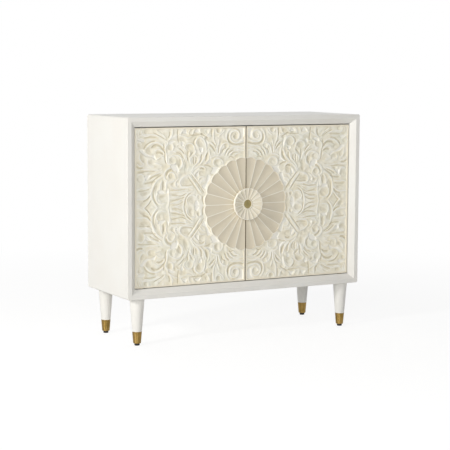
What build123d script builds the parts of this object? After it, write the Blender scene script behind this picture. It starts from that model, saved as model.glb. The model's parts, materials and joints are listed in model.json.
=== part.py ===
from build123d import *
import math
import os

# Two-door accent cabinet: a white mitred case on four turned legs, closed by a
# pair of carved wooden doors that share one round rosette and one round boss.
#
# Frame: X to the right, Y to the back, Z up, millimetres. The origin is on the
# floor, under the middle of the whole cabinet.

os.makedirs("parts", exist_ok=True)

# --- driving sizes -----------------------------------------------------------

case_width = 914.0
case_depth = 332.0
case_height = 607.0
board_thickness = 15.0
case_corner_radius = 7.0
front_edge_radius = 1.6
seat_clearance = 0.05  # radial room round pins, screws and bushes that are glued or pressed in

bevel_width = 17.8
bevel_depth = 15.8
moulding_past_doors = 16.0

back_thickness = 5.0
back_rebate = 8.0
back_edge_room = 0.3
back_screw_radius = 1.5
back_screw_length = 16.0
back_screw_head_radius = 3.0
back_screw_head_height = 1.6
back_screws_wide = 4
back_screw_pitch_x = 230.0
back_screws_high = 3
back_screw_pitch_z = 190.0

door_recess = 18.0
door_thickness = 20.0
door_side_gap = 2.5
door_top_gap = 3.5
door_bottom_gap = 2.2
door_middle_gap = 2.8
door_border = 5.0
door_edge_radius = 1.0

carving_depth = 4.0
carved_panel_base = 2.0
carved_panel_room = 0.2
carved_leaf_rise = 3.0
carved_stem_rise = 3.6
carved_rim = 2.8
carved_hollow = 1.5
carved_eye_share = 0.36  # of a round's radius

petals_per_door = 12
rosette_radius = 163.0
rosette_scallop_depth = 6.0
rosette_rise = 1.0
rosette_lip = 3.0
rosette_hub_margin = 5.0
petal_flute_depth = 2.4
petal_ridge_angle = 0.42

boss_petals_per_half = 9
boss_radius = 55.0
boss_scallop_depth = 1.7
boss_finger_room = 9.5
boss_rim_height = 12.0
boss_rim_round = 1.4
boss_undercut = 14.5
boss_cove_radius = 5.0
boss_dish_angle = 13.8
boss_ridge_angle = 0.8
boss_flute_drop = 1.9
boss_kerf = 0.6
boss_collar_radius = 20.0
boss_collar_bevel = 2.0
boss_collar_rise = 1.0
boss_collar_wall = 2.75
boss_screw_radius = 2.0
boss_screw_head_radius = 4.0
boss_screw_head_height = 2.5
boss_screw_bite = 9.0
boss_screw_offset_x = 24.0
boss_screw_offset_z = 20.0

cap_edge_thickness = 2.0
cap_dome = 1.2
cap_below_collar = 1.9

pivot_plate_margin = 3.0
pivot_plate_cover = 4.0
pivot_pin_radius = 3.0
pivot_running_clearance = 0.05
pivot_pin_in_door = 10.0
pivot_pin_in_bush = 8.0
bush_radius = 5.0
bush_length = 11.0
bush_flange_radius = 8.0
bush_flange_thickness = 1.0
washer_radius = 7.5
washer_room = 0.1
pivot_plate_length = 44.0
pivot_plate_width = 12.0
pivot_plate_thickness = 2.5
plate_screw_pitch = 32.0
plate_screw_radius = 1.5
plate_screw_length = 14.0
plate_screw_head_radius = 3.0
plate_screw_head_height = 1.6

catch_offset = 60.0
catch_end_room = 5.0
catch_length = 12.0
catch_gap = 0.3
magnet_width = 30.0
magnet_height = 5.0
magnet_depth = 9.0
magnet_cover = 1.0
magnet_screw_room = 2.0
catch_screw_radius = 1.4
catch_screw_length = 8.0
catch_screw_head_radius = 2.6
catch_screw_head_height = 1.4
strike_below_edge = 0.5
strike_width = 36.0
strike_height = 11.0
strike_thickness = 1.5
strike_screw_radius = 1.4
strike_screw_length = 9.0
strike_screw_head_radius = 2.6
strike_screw_head_height = 1.3

shelf_thickness = 18.0
shelf_side_room = 1.0
shelf_behind_moulding = 8.0
shelf_back_room = 2.0
shelf_edge_radius = 1.0
pin_radius = 2.5
pin_in_board = 9.0
pin_hole_spare = 1.0
pin_reach = 11.0
pin_collar_radius = 4.0
pin_collar_thickness = 0.7
pin_row_inset = 37.0
pin_hole_pitch = 50.0
pin_holes_each_way = 1

leg_height = 160.5
leg_top_radius = 25.5
leg_inset_x = 51.0
leg_inset_y = 37.0
leg_top_edge = 0.8

glide_radius = 9.0
glide_height = 8.0
glide_edge_radius = 1.2
glide_stem_radius = 3.0
glide_stem_length = 16.0

ferrule_height = 40.0
ferrule_top_radius = 16.6
ferrule_bottom_radius = 13.3
ferrule_wall = 1.2
ferrule_edge_radius = 0.5

bolt_radius = 4.0
bolt_in_leg = 32.0
bolt_top_room = 1.0
insert_barrel_radius = 5.5
insert_flange_radius = 12.0
insert_flange_thickness = 1.5
insert_wood_below = 2.5

# --- places worked out from the driving sizes --------------------------------

opening_width = case_width - 2 * (board_thickness + bevel_width)
opening_height = case_height - 2 * (board_thickness + bevel_width)
inner_width = case_width - 2 * board_thickness
inner_height = case_height - 2 * board_thickness

boss_height = boss_finger_room + boss_rim_height
boss_reach = max(0.0, boss_height + rosette_rise - door_recess)
front_y = boss_reach - (case_depth + boss_reach) / 2
back_y = front_y + case_depth
case_middle_z = leg_height + case_height / 2
opening_low_z = case_middle_z - opening_height / 2
opening_high_z = case_middle_z + opening_height / 2
inner_low_z = leg_height + board_thickness

door_width = (opening_width - 2 * door_side_gap - door_middle_gap) / 2
door_low_z = opening_low_z + door_bottom_gap
door_high_z = opening_high_z - door_top_gap
door_height = door_high_z - door_low_z
door_middle_v = (door_low_z + door_high_z) / 2 - case_middle_z
door_middle_x = (door_middle_gap + door_width) / 2
door_face_y = front_y + door_recess
door_back_y = door_face_y + door_thickness
moulding_depth = door_recess + door_thickness + moulding_past_doors

pivot_x = opening_width / 2 - door_side_gap - pivot_plate_margin - pivot_plate_length / 2
pivot_y = door_face_y + pivot_plate_cover + pivot_plate_width / 2

leg_x = case_width / 2 - leg_inset_x
leg_front_y = front_y + leg_inset_y
leg_back_y = back_y - leg_inset_y
leg_places = {
    "front_left": (-leg_x, leg_front_y),
    "front_right": (leg_x, leg_front_y),
    "back_left": (-leg_x, leg_back_y),
    "back_right": (leg_x, leg_back_y),
}

shelf_front_y = front_y + moulding_depth + shelf_behind_moulding
shelf_back_y = back_y - back_thickness - shelf_back_room
shelf_depth = shelf_back_y - shelf_front_y
shelf_low_z = case_middle_z - shelf_thickness / 2
shelf_width = inner_width - 2 * shelf_side_room
pin_axis_z = shelf_low_z - pin_radius
pin_hole_depth = pin_in_board + pin_hole_spare
pin_front_y = shelf_front_y + pin_row_inset
pin_back_y = shelf_back_y - pin_row_inset

back_edge_x = (inner_width + back_rebate) / 2
back_edge_z = (inner_height + back_rebate) / 2
back_columns = [(i - (back_screws_wide - 1) / 2) * back_screw_pitch_x for i in range(back_screws_wide)]
back_rows = [(i - (back_screws_high - 1) / 2) * back_screw_pitch_z for i in range(back_screws_high)]
back_screw_places = [(x, s * back_edge_z) for x in back_columns for s in (-1, 1)]
back_screw_places += [(s * back_edge_x, z) for z in back_rows for s in (-1, 1)]

SIDES = {"left": -1, "right": 1}


def front_plane(setback):
    """Plane facing the front, centred on the case, setback behind the case's front edge."""
    return Plane(origin=(0, front_y + setback, case_middle_z), x_dir=(1, 0, 0), z_dir=(0, -1, 0))


def save(part, name):
    part.label = name
    export_step(part, f"parts/{name}.step")


# --- case: mitred boards and bevelled mouldings ------------------------------


def mitred_side(side, outer_x, outer_z, inner_x, inner_z):
    """Corner points of one side of a mitred rectangular ring, in the front view."""
    if side in ("top", "bottom"):
        up = 1 if side == "top" else -1
        outer_z, inner_z = up * outer_z, up * inner_z
        return [(-outer_x, outer_z), (outer_x, outer_z), (inner_x, inner_z), (-inner_x, inner_z)]
    outer_x, inner_x = SIDES[side] * outer_x, SIDES[side] * inner_x
    return [(outer_x, outer_z), (outer_x, -outer_z), (inner_x, -inner_z), (inner_x, inner_z)]


def is_outer_front_edge(edge):
    middle = edge.center()
    near_side = abs(middle.X) > case_width / 2 - board_thickness / 4
    near_end = abs(middle.Z - case_middle_z) > case_height / 2 - board_thickness / 4
    return near_side or near_end


def case_board(side):
    """One mitred board of the case, rounded at the corners, with the back's rebate."""
    with BuildPart() as board:
        with BuildSketch(front_plane(0)):
            RectangleRounded(case_width, case_height, case_corner_radius)
            corners = mitred_side(side, case_width / 2, case_height / 2, inner_width / 2, inner_height / 2)
            Polygon(*corners, align=None, mode=Mode.INTERSECT)
        extrude(amount=-case_depth)
        front_face = board.faces().sort_by(Axis.Y)[0]
        fillet(front_face.edges().filter_by(is_outer_front_edge), radius=front_edge_radius)
        with BuildSketch(front_plane(case_depth)):
            Rectangle(inner_width + 2 * back_rebate, inner_height + 2 * back_rebate)
        extrude(amount=back_thickness, mode=Mode.SUBTRACT)
        with BuildSketch(front_plane(case_depth)):
            with Locations(*back_screw_places):
                Circle(back_screw_radius + seat_clearance)
        extrude(amount=back_screw_length, mode=Mode.SUBTRACT)
    return board


def moulding(side):
    """One mitred length of the bevelled moulding that frames the doors."""
    with BuildPart() as strip:
        with BuildSketch(front_plane(0)):
            half_room = (inner_width / 2, inner_height / 2)
            Polygon(*mitred_side(side, *half_room, opening_width / 2, opening_height / 2), align=None)
        extrude(amount=-moulding_depth)
        with BuildSketch(front_plane(0)):
            Rectangle(inner_width, inner_height)
        with BuildSketch(front_plane(bevel_depth)):
            Rectangle(opening_width, opening_height)
        loft(mode=Mode.SUBTRACT)
    return strip


for side in ("left", "right"):
    outward = SIDES[side]
    with BuildPart() as side_board:
        add(case_board(side).part)
        hole_heights = [i * pin_hole_pitch for i in range(-pin_holes_each_way, pin_holes_each_way + 1)]
        with BuildSketch(Plane.YZ.offset(outward * inner_width / 2)):
            with Locations(*[(y, pin_axis_z + h) for y in (pin_front_y, pin_back_y) for h in hole_heights]):
                Circle(pin_radius + seat_clearance)
        extrude(amount=outward * pin_hole_depth, mode=Mode.SUBTRACT)
    save(side_board.part, f"side_board_{side}")

with BuildPart() as top_board:
    add(case_board("top").part)
save(top_board.part, "top_board")

with BuildPart() as bottom_board:
    add(case_board("bottom").part)
    with BuildSketch(Plane.XY.offset(leg_height)):
        with Locations(*leg_places.values()):
            Circle(insert_barrel_radius + seat_clearance)
    extrude(amount=board_thickness, mode=Mode.SUBTRACT)
    with BuildSketch(Plane.XY.offset(inner_low_z)):
        with Locations(*leg_places.values()):
            Circle(insert_flange_radius + seat_clearance)
    extrude(amount=-insert_flange_thickness, mode=Mode.SUBTRACT)
save(bottom_board.part, "bottom_board")

for side in ("left", "right"):
    save(moulding(side).part, f"moulding_{side}")

catch_screw_pitch = magnet_width + 2 * magnet_screw_room

for side, mouth_z, into_wood in (("top", opening_high_z, 1), ("bottom", opening_low_z, -1)):
    with BuildPart() as rail:
        add(moulding(side).part)
        with BuildSketch(Plane.XY.offset(mouth_z)):
            with Locations((-pivot_x, pivot_y), (pivot_x, pivot_y)):
                Circle(bush_radius + seat_clearance)
        extrude(amount=into_wood * bush_length, mode=Mode.SUBTRACT)
        if side == "top":
            catch_screw_y = door_back_y + strike_thickness + catch_gap + catch_length / 2
            screw_xs = [s * catch_offset + e * catch_screw_pitch / 2 for s in (-1, 1) for e in (-1, 1)]
            with BuildSketch(Plane.XY.offset(mouth_z)):
                with Locations(*[(x, catch_screw_y) for x in screw_xs]):
                    Circle(catch_screw_radius + seat_clearance)
            extrude(amount=catch_screw_length, mode=Mode.SUBTRACT)
    save(rail.part, f"moulding_{side}")

# --- back panel ---------------------------------------------------------------

back_width = inner_width + 2 * (back_rebate - back_edge_room)
back_height = inner_height + 2 * (back_rebate - back_edge_room)

with BuildPart() as back_panel:
    with BuildSketch(front_plane(case_depth)):
        Rectangle(back_width, back_height)
        with Locations(*back_screw_places):
            Circle(back_screw_radius + seat_clearance, mode=Mode.SUBTRACT)
    extrude(amount=back_thickness)
    with BuildSketch(front_plane(case_depth)):
        with Locations(*back_screw_places):
            Circle(back_screw_head_radius + seat_clearance)
    extrude(amount=back_screw_head_height, mode=Mode.SUBTRACT)
save(back_panel.part, "back_panel")

with BuildPart() as back_screws:
    with BuildSketch(front_plane(case_depth)):
        with Locations(*back_screw_places):
            Circle(back_screw_radius)
    extrude(amount=back_screw_length)
    with BuildSketch(front_plane(case_depth)):
        with Locations(*back_screw_places):
            Circle(back_screw_head_radius)
    extrude(amount=back_screw_head_height)
save(back_screws.part, "back_screws")

# --- shelf on four pins -------------------------------------------------------

with BuildPart() as shelf:
    with BuildSketch(Plane.XY.offset(shelf_low_z)):
        with Locations((0, (shelf_front_y + shelf_back_y) / 2)):
            Rectangle(shelf_width, shelf_depth)
    extrude(amount=shelf_thickness)
    front_face = shelf.faces().sort_by(Axis.Y)[0]
    fillet(front_face.edges().filter_by(Axis.X), radius=shelf_edge_radius)
save(shelf.part, "shelf")

with BuildPart() as shelf_pins:
    for outward in SIDES.values():
        pin_places = [(pin_front_y, pin_axis_z), (pin_back_y, pin_axis_z)]
        with BuildSketch(Plane.YZ.offset(outward * (inner_width / 2 + pin_in_board))):
            with Locations(*pin_places):
                Circle(pin_radius)
        extrude(amount=-outward * (pin_in_board + pin_reach))
        with BuildSketch(Plane.YZ.offset(outward * inner_width / 2)):
            with Locations(*pin_places):
                Circle(pin_collar_radius)
            with Locations((0, pin_axis_z + pin_collar_radius)):
                Rectangle(case_depth * 2, 2 * (pin_collar_radius - pin_radius), mode=Mode.SUBTRACT)
        extrude(amount=-outward * pin_collar_thickness)
save(shelf_pins.part, "shelf_pins")

# --- turned legs with ferrules, glides and their fastenings -------------------

ferrule_top_z = glide_height + ferrule_height
ferrule_taper = (ferrule_top_radius - ferrule_bottom_radius) / ferrule_height
spigot_low_z = glide_height + ferrule_wall
spigot_low_radius = ferrule_bottom_radius + ferrule_taper * ferrule_wall - ferrule_wall - seat_clearance
spigot_top_radius = ferrule_top_radius - ferrule_wall - seat_clearance
stem_top_z = glide_height + glide_stem_length
bolt_low_z = leg_height - bolt_in_leg
bolt_top_z = inner_low_z - bolt_top_room
insert_barrel_low_z = leg_height + insert_wood_below


def upright_plane(x, y):
    """Vertical plane through a leg's axis: first coordinate out from the axis, second up."""
    return Plane(origin=(x, y, 0), x_dir=(1, 0, 0), z_dir=(0, -1, 0))


def turned(x, y, outline):
    """Solid of revolution about the upright axis at x, y."""
    with BuildPart() as turning:
        with BuildSketch(upright_plane(x, y)):
            Polygon(*outline, align=None)
        revolve(axis=Axis((x, y, 0), (0, 0, 1)))
    return turning


for place, (x, y) in leg_places.items():
    with BuildPart() as leg:
        leg_outline = [
            (glide_stem_radius + seat_clearance, spigot_low_z),
            (spigot_low_radius, spigot_low_z),
            (spigot_top_radius, ferrule_top_z),
            (ferrule_top_radius, ferrule_top_z),
            (leg_top_radius, leg_height - leg_top_edge),
            (leg_top_radius - leg_top_edge, leg_height),
            (bolt_radius + seat_clearance, leg_height),
            (bolt_radius + seat_clearance, bolt_low_z),
            (0, bolt_low_z),
            (0, stem_top_z),
            (glide_stem_radius + seat_clearance, stem_top_z),
        ]
        add(turned(x, y, leg_outline).part)
    save(leg.part, f"leg_{place}")

    with BuildPart() as ferrule:
        ferrule_outline = [
            (glide_stem_radius + seat_clearance, glide_height),
            (ferrule_bottom_radius - ferrule_edge_radius, glide_height),
            (ferrule_bottom_radius, glide_height + ferrule_edge_radius),
            (ferrule_top_radius, ferrule_top_z),
            (ferrule_top_radius - ferrule_wall, ferrule_top_z),
            (spigot_low_radius + seat_clearance, spigot_low_z),
            (glide_stem_radius + seat_clearance, spigot_low_z),
        ]
        add(turned(x, y, ferrule_outline).part)
    save(ferrule.part, f"ferrule_{place}")

    with BuildPart() as glide:
        glide_outline = [
            (0, 0),
            (glide_radius - glide_edge_radius, 0),
            (glide_radius, glide_edge_radius),
            (glide_radius, glide_height),
            (glide_stem_radius, glide_height),
            (glide_stem_radius, stem_top_z),
            (0, stem_top_z),
        ]
        add(turned(x, y, glide_outline).part)
    save(glide.part, f"glide_{place}")

with BuildPart() as hanger_bolts:
    with BuildSketch(Plane.XY.offset(bolt_low_z)):
        with Locations(*leg_places.values()):
            Circle(bolt_radius)
    extrude(amount=bolt_top_z - bolt_low_z)
save(hanger_bolts.part, "hanger_bolts")

with BuildPart() as leg_inserts:
    with BuildSketch(Plane.XY.offset(insert_barrel_low_z)):
        with Locations(*leg_places.values()):
            Circle(insert_barrel_radius)
    extrude(amount=inner_low_z - insert_barrel_low_z)
    with BuildSketch(Plane.XY.offset(inner_low_z)):
        with Locations(*leg_places.values()):
            Circle(insert_flange_radius)
    extrude(amount=-insert_flange_thickness)
    with BuildSketch(Plane.XY.offset(insert_barrel_low_z)):
        with Locations(*leg_places.values()):
            Circle(bolt_radius + seat_clearance)
    extrude(amount=inner_low_z - insert_barrel_low_z, mode=Mode.SUBTRACT)
save(leg_inserts.part, "leg_inserts")

# --- pivot hinges' fixed parts and the magnetic catches -----------------------

pivot_bore_radius = pivot_pin_radius + pivot_running_clearance

with BuildPart() as hinge_bushes:
    for mouth_z, into_wood in ((opening_high_z, 1), (opening_low_z, -1)):
        with BuildSketch(Plane.XY.offset(mouth_z)):
            with Locations((-pivot_x, pivot_y), (pivot_x, pivot_y)):
                Circle(bush_radius)
        extrude(amount=into_wood * bush_length)
        with BuildSketch(Plane.XY.offset(mouth_z)):
            with Locations((-pivot_x, pivot_y), (pivot_x, pivot_y)):
                Circle(bush_flange_radius)
        extrude(amount=-into_wood * bush_flange_thickness)
        with BuildSketch(Plane.XY.offset(mouth_z - into_wood * bush_flange_thickness)):
            with Locations((-pivot_x, pivot_y), (pivot_x, pivot_y)):
                Circle(pivot_bore_radius)
        extrude(amount=into_wood * (bush_length + bush_flange_thickness), mode=Mode.SUBTRACT)
save(hinge_bushes.part, "hinge_bushes")

with BuildPart() as thrust_washers:
    with BuildSketch(Plane.XY.offset(opening_low_z + bush_flange_thickness)):
        with Locations((-pivot_x, pivot_y), (pivot_x, pivot_y)):
            Circle(washer_radius)
            Circle(pivot_bore_radius, mode=Mode.SUBTRACT)
    extrude(amount=door_bottom_gap - bush_flange_thickness - washer_room)
save(thrust_washers.part, "thrust_washers")

strike_middle_z = door_high_z - strike_below_edge - strike_height / 2
strike_middle_v = strike_middle_z - case_middle_z
catch_front_y = door_back_y + strike_thickness + catch_gap
catch_middle_y = catch_front_y + catch_length / 2
catch_height = opening_high_z - strike_middle_z + magnet_height / 2 + magnet_cover
catch_width = catch_screw_pitch + 2 * catch_end_room

for side, outward in SIDES.items():
    with BuildPart() as catch:
        with BuildSketch(Plane.XY.offset(opening_high_z)):
            with Locations((outward * catch_offset, catch_middle_y)):
                Rectangle(catch_width, catch_length)
        extrude(amount=-catch_height)
        with BuildSketch(front_plane(door_recess + door_thickness + strike_thickness + catch_gap)):
            with Locations((outward * catch_offset, strike_middle_v)):
                Rectangle(magnet_width + 2 * seat_clearance, magnet_height + 2 * seat_clearance)
        extrude(amount=-magnet_depth - seat_clearance, mode=Mode.SUBTRACT)
        with BuildSketch(Plane.XY.offset(opening_high_z)):
            with Locations((outward * catch_offset, catch_middle_y)):
                with GridLocations(catch_screw_pitch, 0, 2, 1):
                    Circle(catch_screw_radius + seat_clearance)
        extrude(amount=-catch_height, mode=Mode.SUBTRACT)
    save(catch.part, f"catch_{side}")

with BuildPart() as catch_magnets:
    with BuildSketch(front_plane(door_recess + door_thickness + strike_thickness + catch_gap)):
        with Locations((-catch_offset, strike_middle_v), (catch_offset, strike_middle_v)):
            Rectangle(magnet_width, magnet_height)
    extrude(amount=-magnet_depth)
save(catch_magnets.part, "catch_magnets")

with BuildPart() as catch_screws:
    catch_low_z = opening_high_z - catch_height
    with BuildSketch(Plane.XY.offset(catch_low_z)):
        with Locations((-catch_offset, catch_middle_y), (catch_offset, catch_middle_y)):
            with GridLocations(catch_screw_pitch, 0, 2, 1):
                Circle(catch_screw_radius)
    extrude(amount=catch_height + catch_screw_length)
    with BuildSketch(Plane.XY.offset(catch_low_z)):
        with Locations((-catch_offset, catch_middle_y), (catch_offset, catch_middle_y)):
            with GridLocations(catch_screw_pitch, 0, 2, 1):
                Circle(catch_screw_head_radius)
    extrude(amount=-catch_screw_head_height)
save(catch_screws.part, "catch_screws")

# --- the rosette's petals and the boss's flutes -------------------------------


def scallops(count, peak_radius, notch_radius, lobes, start=90):
    """Notch, peak and notch of each of a run of rounded lobes, one lobe a count-th of the circle."""
    pitch = 360 / count
    corners = []
    for i in range(lobes):
        radii = (notch_radius, peak_radius, notch_radius)
        angles = [math.radians(start + (i + share) * pitch) for share in (0, 0.5, 1)]
        corners.append([(r * math.cos(a), r * math.sin(a)) for r, a in zip(radii, angles)])
    return corners


def flute_cutter(petal_angle, ridge_angle, surface_angle, floor_angle, reach):
    """Cone lying along +X with its tip at the origin. It cuts one petal's hollow.

    The surface rises outward at surface_angle and the hollow's floor at floor_angle.
    The cone meets the surface at half the petal's angle less half a ridge, each side.
    """
    half_angle = math.radians(petal_angle / 2 - ridge_angle)
    surface = math.radians(surface_angle)
    floor = math.radians(floor_angle)
    across = math.cos(floor) - math.cos(surface) * math.cos(half_angle)
    axis_angle = math.atan2(across, math.sin(surface) - math.sin(floor))
    axis_way = (math.cos(axis_angle), 0, math.sin(axis_angle))
    end_radius = reach * math.tan(axis_angle - floor)
    tip_first = (Align.CENTER, Align.CENTER, Align.MIN)
    with BuildPart(Plane(origin=(0, 0, 0), x_dir=(0, 1, 0), z_dir=axis_way)) as cutter:
        Cone(bottom_radius=0, top_radius=end_radius, height=reach, align=tip_first)
    return cutter


def lobe_arc(count, peak_radius, notch_radius):
    """Distance of a lobe's centre from the middle of the disc, and the lobe's own radius."""
    half_chord = notch_radius * math.sin(math.radians(180 / count))
    height = peak_radius - notch_radius * math.cos(math.radians(180 / count))
    lobe_radius = (half_chord**2 + height**2) / (2 * height)
    return peak_radius - lobe_radius, lobe_radius


petal_count = 2 * petals_per_door
rosette_notch_radius = rosette_radius - rosette_scallop_depth
rosette_hub_radius = boss_radius - boss_undercut + rosette_hub_margin
petal_floor_angle = -math.degrees(math.atan(petal_flute_depth / rosette_radius))
petal_centre, petal_arc_radius = lobe_arc(petal_count, rosette_radius, rosette_notch_radius)

with BuildPart() as petal_cutter:
    petal_cone = flute_cutter(360 / petal_count, petal_ridge_angle, 0, petal_floor_angle, rosette_radius)
    add(petal_cone.part)
    with BuildSketch(Plane.XY.offset(-2 * petal_flute_depth)):
        with Locations((petal_centre, 0)):
            Circle(petal_arc_radius - rosette_lip)
        with Locations(((rosette_hub_radius + petal_centre) / 2, 0)):
            Rectangle(petal_centre - rosette_hub_radius, 2 * (petal_arc_radius - rosette_lip))
    extrude(amount=4 * petal_flute_depth, mode=Mode.INTERSECT)

rosette_plane = front_plane(door_recess - rosette_rise)
boss_plane = rosette_plane

# --- boss: a dished, fluted wooden disc, made whole and sawn into two halves ---

boss_petal_count = 2 * boss_petals_per_half
boss_notch_radius = boss_radius - boss_scallop_depth
boss_foot_radius = boss_radius - boss_undercut
boss_dish_slope = math.tan(math.radians(boss_dish_angle))
boss_lip_radius = boss_radius - boss_rim_round
boss_dish_apex = boss_height - boss_lip_radius * boss_dish_slope
collar_foot = boss_dish_apex + boss_collar_radius * boss_dish_slope
collar_top = collar_foot + boss_collar_rise
collar_top_radius = boss_collar_radius - boss_collar_bevel
cap_radius = collar_top_radius - boss_collar_wall
cap_low = collar_top - cap_below_collar - cap_edge_thickness - cap_dome
boss_flute_floor = boss_dish_angle - boss_flute_drop
boss_screw_depth = door_thickness + rosette_rise

with BuildPart() as boss:
    with BuildSketch(Plane.XZ):
        with BuildLine():
            cove_start = (boss_foot_radius, boss_finger_room - boss_cove_radius)
            Polyline((0, 0), (boss_foot_radius, 0), cove_start)
            JernArc(start=cove_start, tangent=(0, 1), radius=boss_cove_radius, arc_size=-90)
            Polyline(
                (boss_foot_radius + boss_cove_radius, boss_finger_room),
                (boss_radius - boss_rim_round, boss_finger_room),
                (boss_radius, boss_finger_room + boss_rim_round),
                (boss_radius, boss_height - boss_rim_round),
                (boss_lip_radius, boss_height),
                (boss_collar_radius, collar_foot),
                (0, collar_foot),
                (0, 0),
            )
        make_face()
    revolve(axis=Axis.Z)
    with BuildSketch(Plane.XY):
        with BuildLine():
            for lobe in scallops(boss_petal_count, boss_radius, boss_notch_radius, boss_petal_count):
                ThreePointArc(*lobe)
        make_face()
    extrude(amount=boss_height, mode=Mode.INTERSECT)
    boss_cone = flute_cutter(
        360 / boss_petal_count, boss_ridge_angle, boss_dish_angle, boss_flute_floor, 1.5 * boss_radius
    )
    with Locations((0, 0, boss_dish_apex)):
        with PolarLocations(0, boss_petal_count, start_angle=90 + 180 / boss_petal_count):
            add(boss_cone.part, mode=Mode.SUBTRACT)
    with BuildSketch(Plane.XY):
        Circle(boss_collar_radius)
    extrude(amount=collar_foot)
    with BuildSketch(Plane.XY.offset(collar_foot)):
        Circle(boss_collar_radius)
    with BuildSketch(Plane.XY.offset(collar_top)):
        Circle(collar_top_radius)
    loft()
    with BuildSketch(Plane.XY.offset(cap_low)):
        Circle(cap_radius + seat_clearance)
    extrude(amount=boss_height, mode=Mode.SUBTRACT)

with BuildPart() as cap:
    with BuildSketch(Plane.XZ):
        with BuildLine():
            cap_edge = (cap_radius, cap_low + cap_edge_thickness)
            cap_crown = (0, cap_low + cap_edge_thickness + cap_dome)
            Polyline(cap_crown, (0, cap_low), (cap_radius, cap_low), cap_edge)
            cap_dome_radius = (cap_radius**2 + cap_dome**2) / (2 * cap_dome)
            RadiusArc(cap_edge, cap_crown, cap_dome_radius)
        make_face()
    revolve(axis=Axis.Z)

# --- carving: one quarter of the doors' pattern --------------------------------

# The pattern is drawn on squares, counted outward from the doors' meeting line and up from the
# rosette's middle, and laid over the carved field. It repeats in the other three quarters.
drawing_columns = 417
drawing_rows = 263
square_width = (door_middle_x + door_width / 2 - door_border) / drawing_columns
square_height = (door_height / 2 - door_border) / drawing_rows

bar_ends = ((160, 41), (213, 111))
bar_width = 12

# scrolls and round flowers: place of the middle, and radius
rounds = [
    (110, 144, 18), (170, 113, 15), (43, 231, 25), (176, 211, 15), (217, 203, 16), (291, 200, 14),
    (281, 157, 17), (288, 106, 17), (318, 26, 22), (207, 20, 19), (184, 30, 10), (402, 102, 16),
    (406, 210, 11), (363, 155, 14), (372, 190, 15), (384, 251, 12), (180, 250, 12), (238, 248, 13),
    (164, 83, 13), (256, 209, 9), (107, 256, 11),
]

# stems: three points on each curve, and width
stems = [
    ((86, 138), (104, 169), (142, 152), 7), ((160, 128), (187, 132), (208, 104), 7),
    ((158, 203), (176, 232), (196, 212), 8), ((272, 172), (244, 150), (264, 127), 8),
    ((298, 224), (309, 200), (303, 172), 7), ((303, 172), (302, 152), (278, 142), 7),
    ((277, 143), (311, 122), (303, 92), 7), ((322, 106), (357, 56), (345, 4), 8),
    ((326, 86), (345, 46), (328, 6), 5), ((319, 198), (353, 217), (388, 188), 8),
    ((364, 46), (386, 33), (415, 33), 6), ((358, 36), (380, 18), (398, -2), 6),
    ((62, 262), (81, 236), (64, 206), 7), ((214, 110), (238, 102), (254, 90), 6),
]

# leaves: root, tip and width
leaves = [
    ((108, 172), (86, 210), 16), ((111, 172), (104, 218), 12), ((114, 172), (119, 226), 12),
    ((118, 172), (138, 215), 15), ((122, 170), (150, 199), 12), ((220, 148), (195, 191), 13),
    ((223, 148), (219, 190), 13), ((226, 148), (241, 205), 13), ((207, 114), (195, 174), 26),
    ((184, 134), (146, 194), 24), ((186, 142), (166, 194), 17), ((202, 67), (260, 84), 28),
    ((4, 194), (78, 182), 20), ((236, 162), (288, 186), 12), ((298, 56), (268, 92), 20),
    ((314, 52), (306, 96), 18), ((206, 58), (286, 57), 15), ((214, 50), (293, 44), 16),
    ((224, 42), (293, 29), 16), ((230, 32), (290, 13), 16), ((236, 20), (280, 0), 15),
    ((304, 230), (336, 262), 21), ((308, 226), (372, 252), 24), ((312, 220), (406, 236), 16),
    ((316, 140), (354, 174), 20), ((318, 134), (388, 157), 17), ((322, 129), (417, 142), 15),
    ((324, 122), (417, 121), 13), ((330, 116), (378, 84), 20), ((352, 88), (404, 86), 18),
    ((362, 68), (417, 58), 18), ((372, 36), (417, 20), 18), ((60, 262), (112, 214), 18),
    ((136, 264), (134, 220), 16), ((160, 264), (160, 230), 18), ((206, 264), (204, 220), 17),
    ((262, 264), (256, 230), 15), ((274, 264), (295, 226), 16), ((320, 207), (361, 190), 22),
    ((320, 182), (352, 178), 22), ((384, 148), (399, 178), 17), ((236, 184), (280, 214), 17),
    ((48, 162), (26, 180), 11), ((64, 164), (46, 186), 11), ((80, 166), (62, 192), 12),
    ((92, 172), (80, 204), 11), ((8, 213), (64, 204), 12), ((152, 92), (124, 134), 15),
    ((230, 106), (230, 184), 22), ((214, 231), (258, 238), 14), ((350, 56), (322, 100), 17),
    ((300, 60), (294, 8), 12), ((394, 184), (414, 160), 13), ((320, 236), (320, 262), 12),
    ((184, 234), (214, 224), 12), ((244, 76), (290, 86), 14), ((128, 244), (150, 226), 12),
]


def on_square(point):
    """Place of a point of the squared drawing, as a vector in millimetres."""
    return Vector(point[0] * square_width, point[1] * square_height)


def leaf_edges(root, tip, width, inset=0):
    """Root, side and tip of each of the two arcs that bound a pointed leaf, drawn in by inset."""
    root, tip = on_square(root), on_square(tip)
    along = (tip - root).normalized()
    half_width = width * square_width / 2
    tip_angle = 2 * math.atan2(2 * half_width, (tip - root).length)
    root += along * inset / math.sin(tip_angle)
    tip -= along * inset / math.sin(tip_angle)
    sideways = along.rotate(Axis.Z, 90) * (half_width - inset)
    middle = (root + tip) / 2
    return (root, middle + sideways, tip), (tip, middle - sideways, root)


stem_lines = [(Edge.make_three_point_arc(*map(on_square, stem[:3])), stem[3]) for stem in stems]
bar_line = Edge.make_line(*map(on_square, bar_ends))
wide_leaves = [(root, tip, width) for root, tip, width in leaves if width * square_width > 4 * carved_rim]

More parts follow.
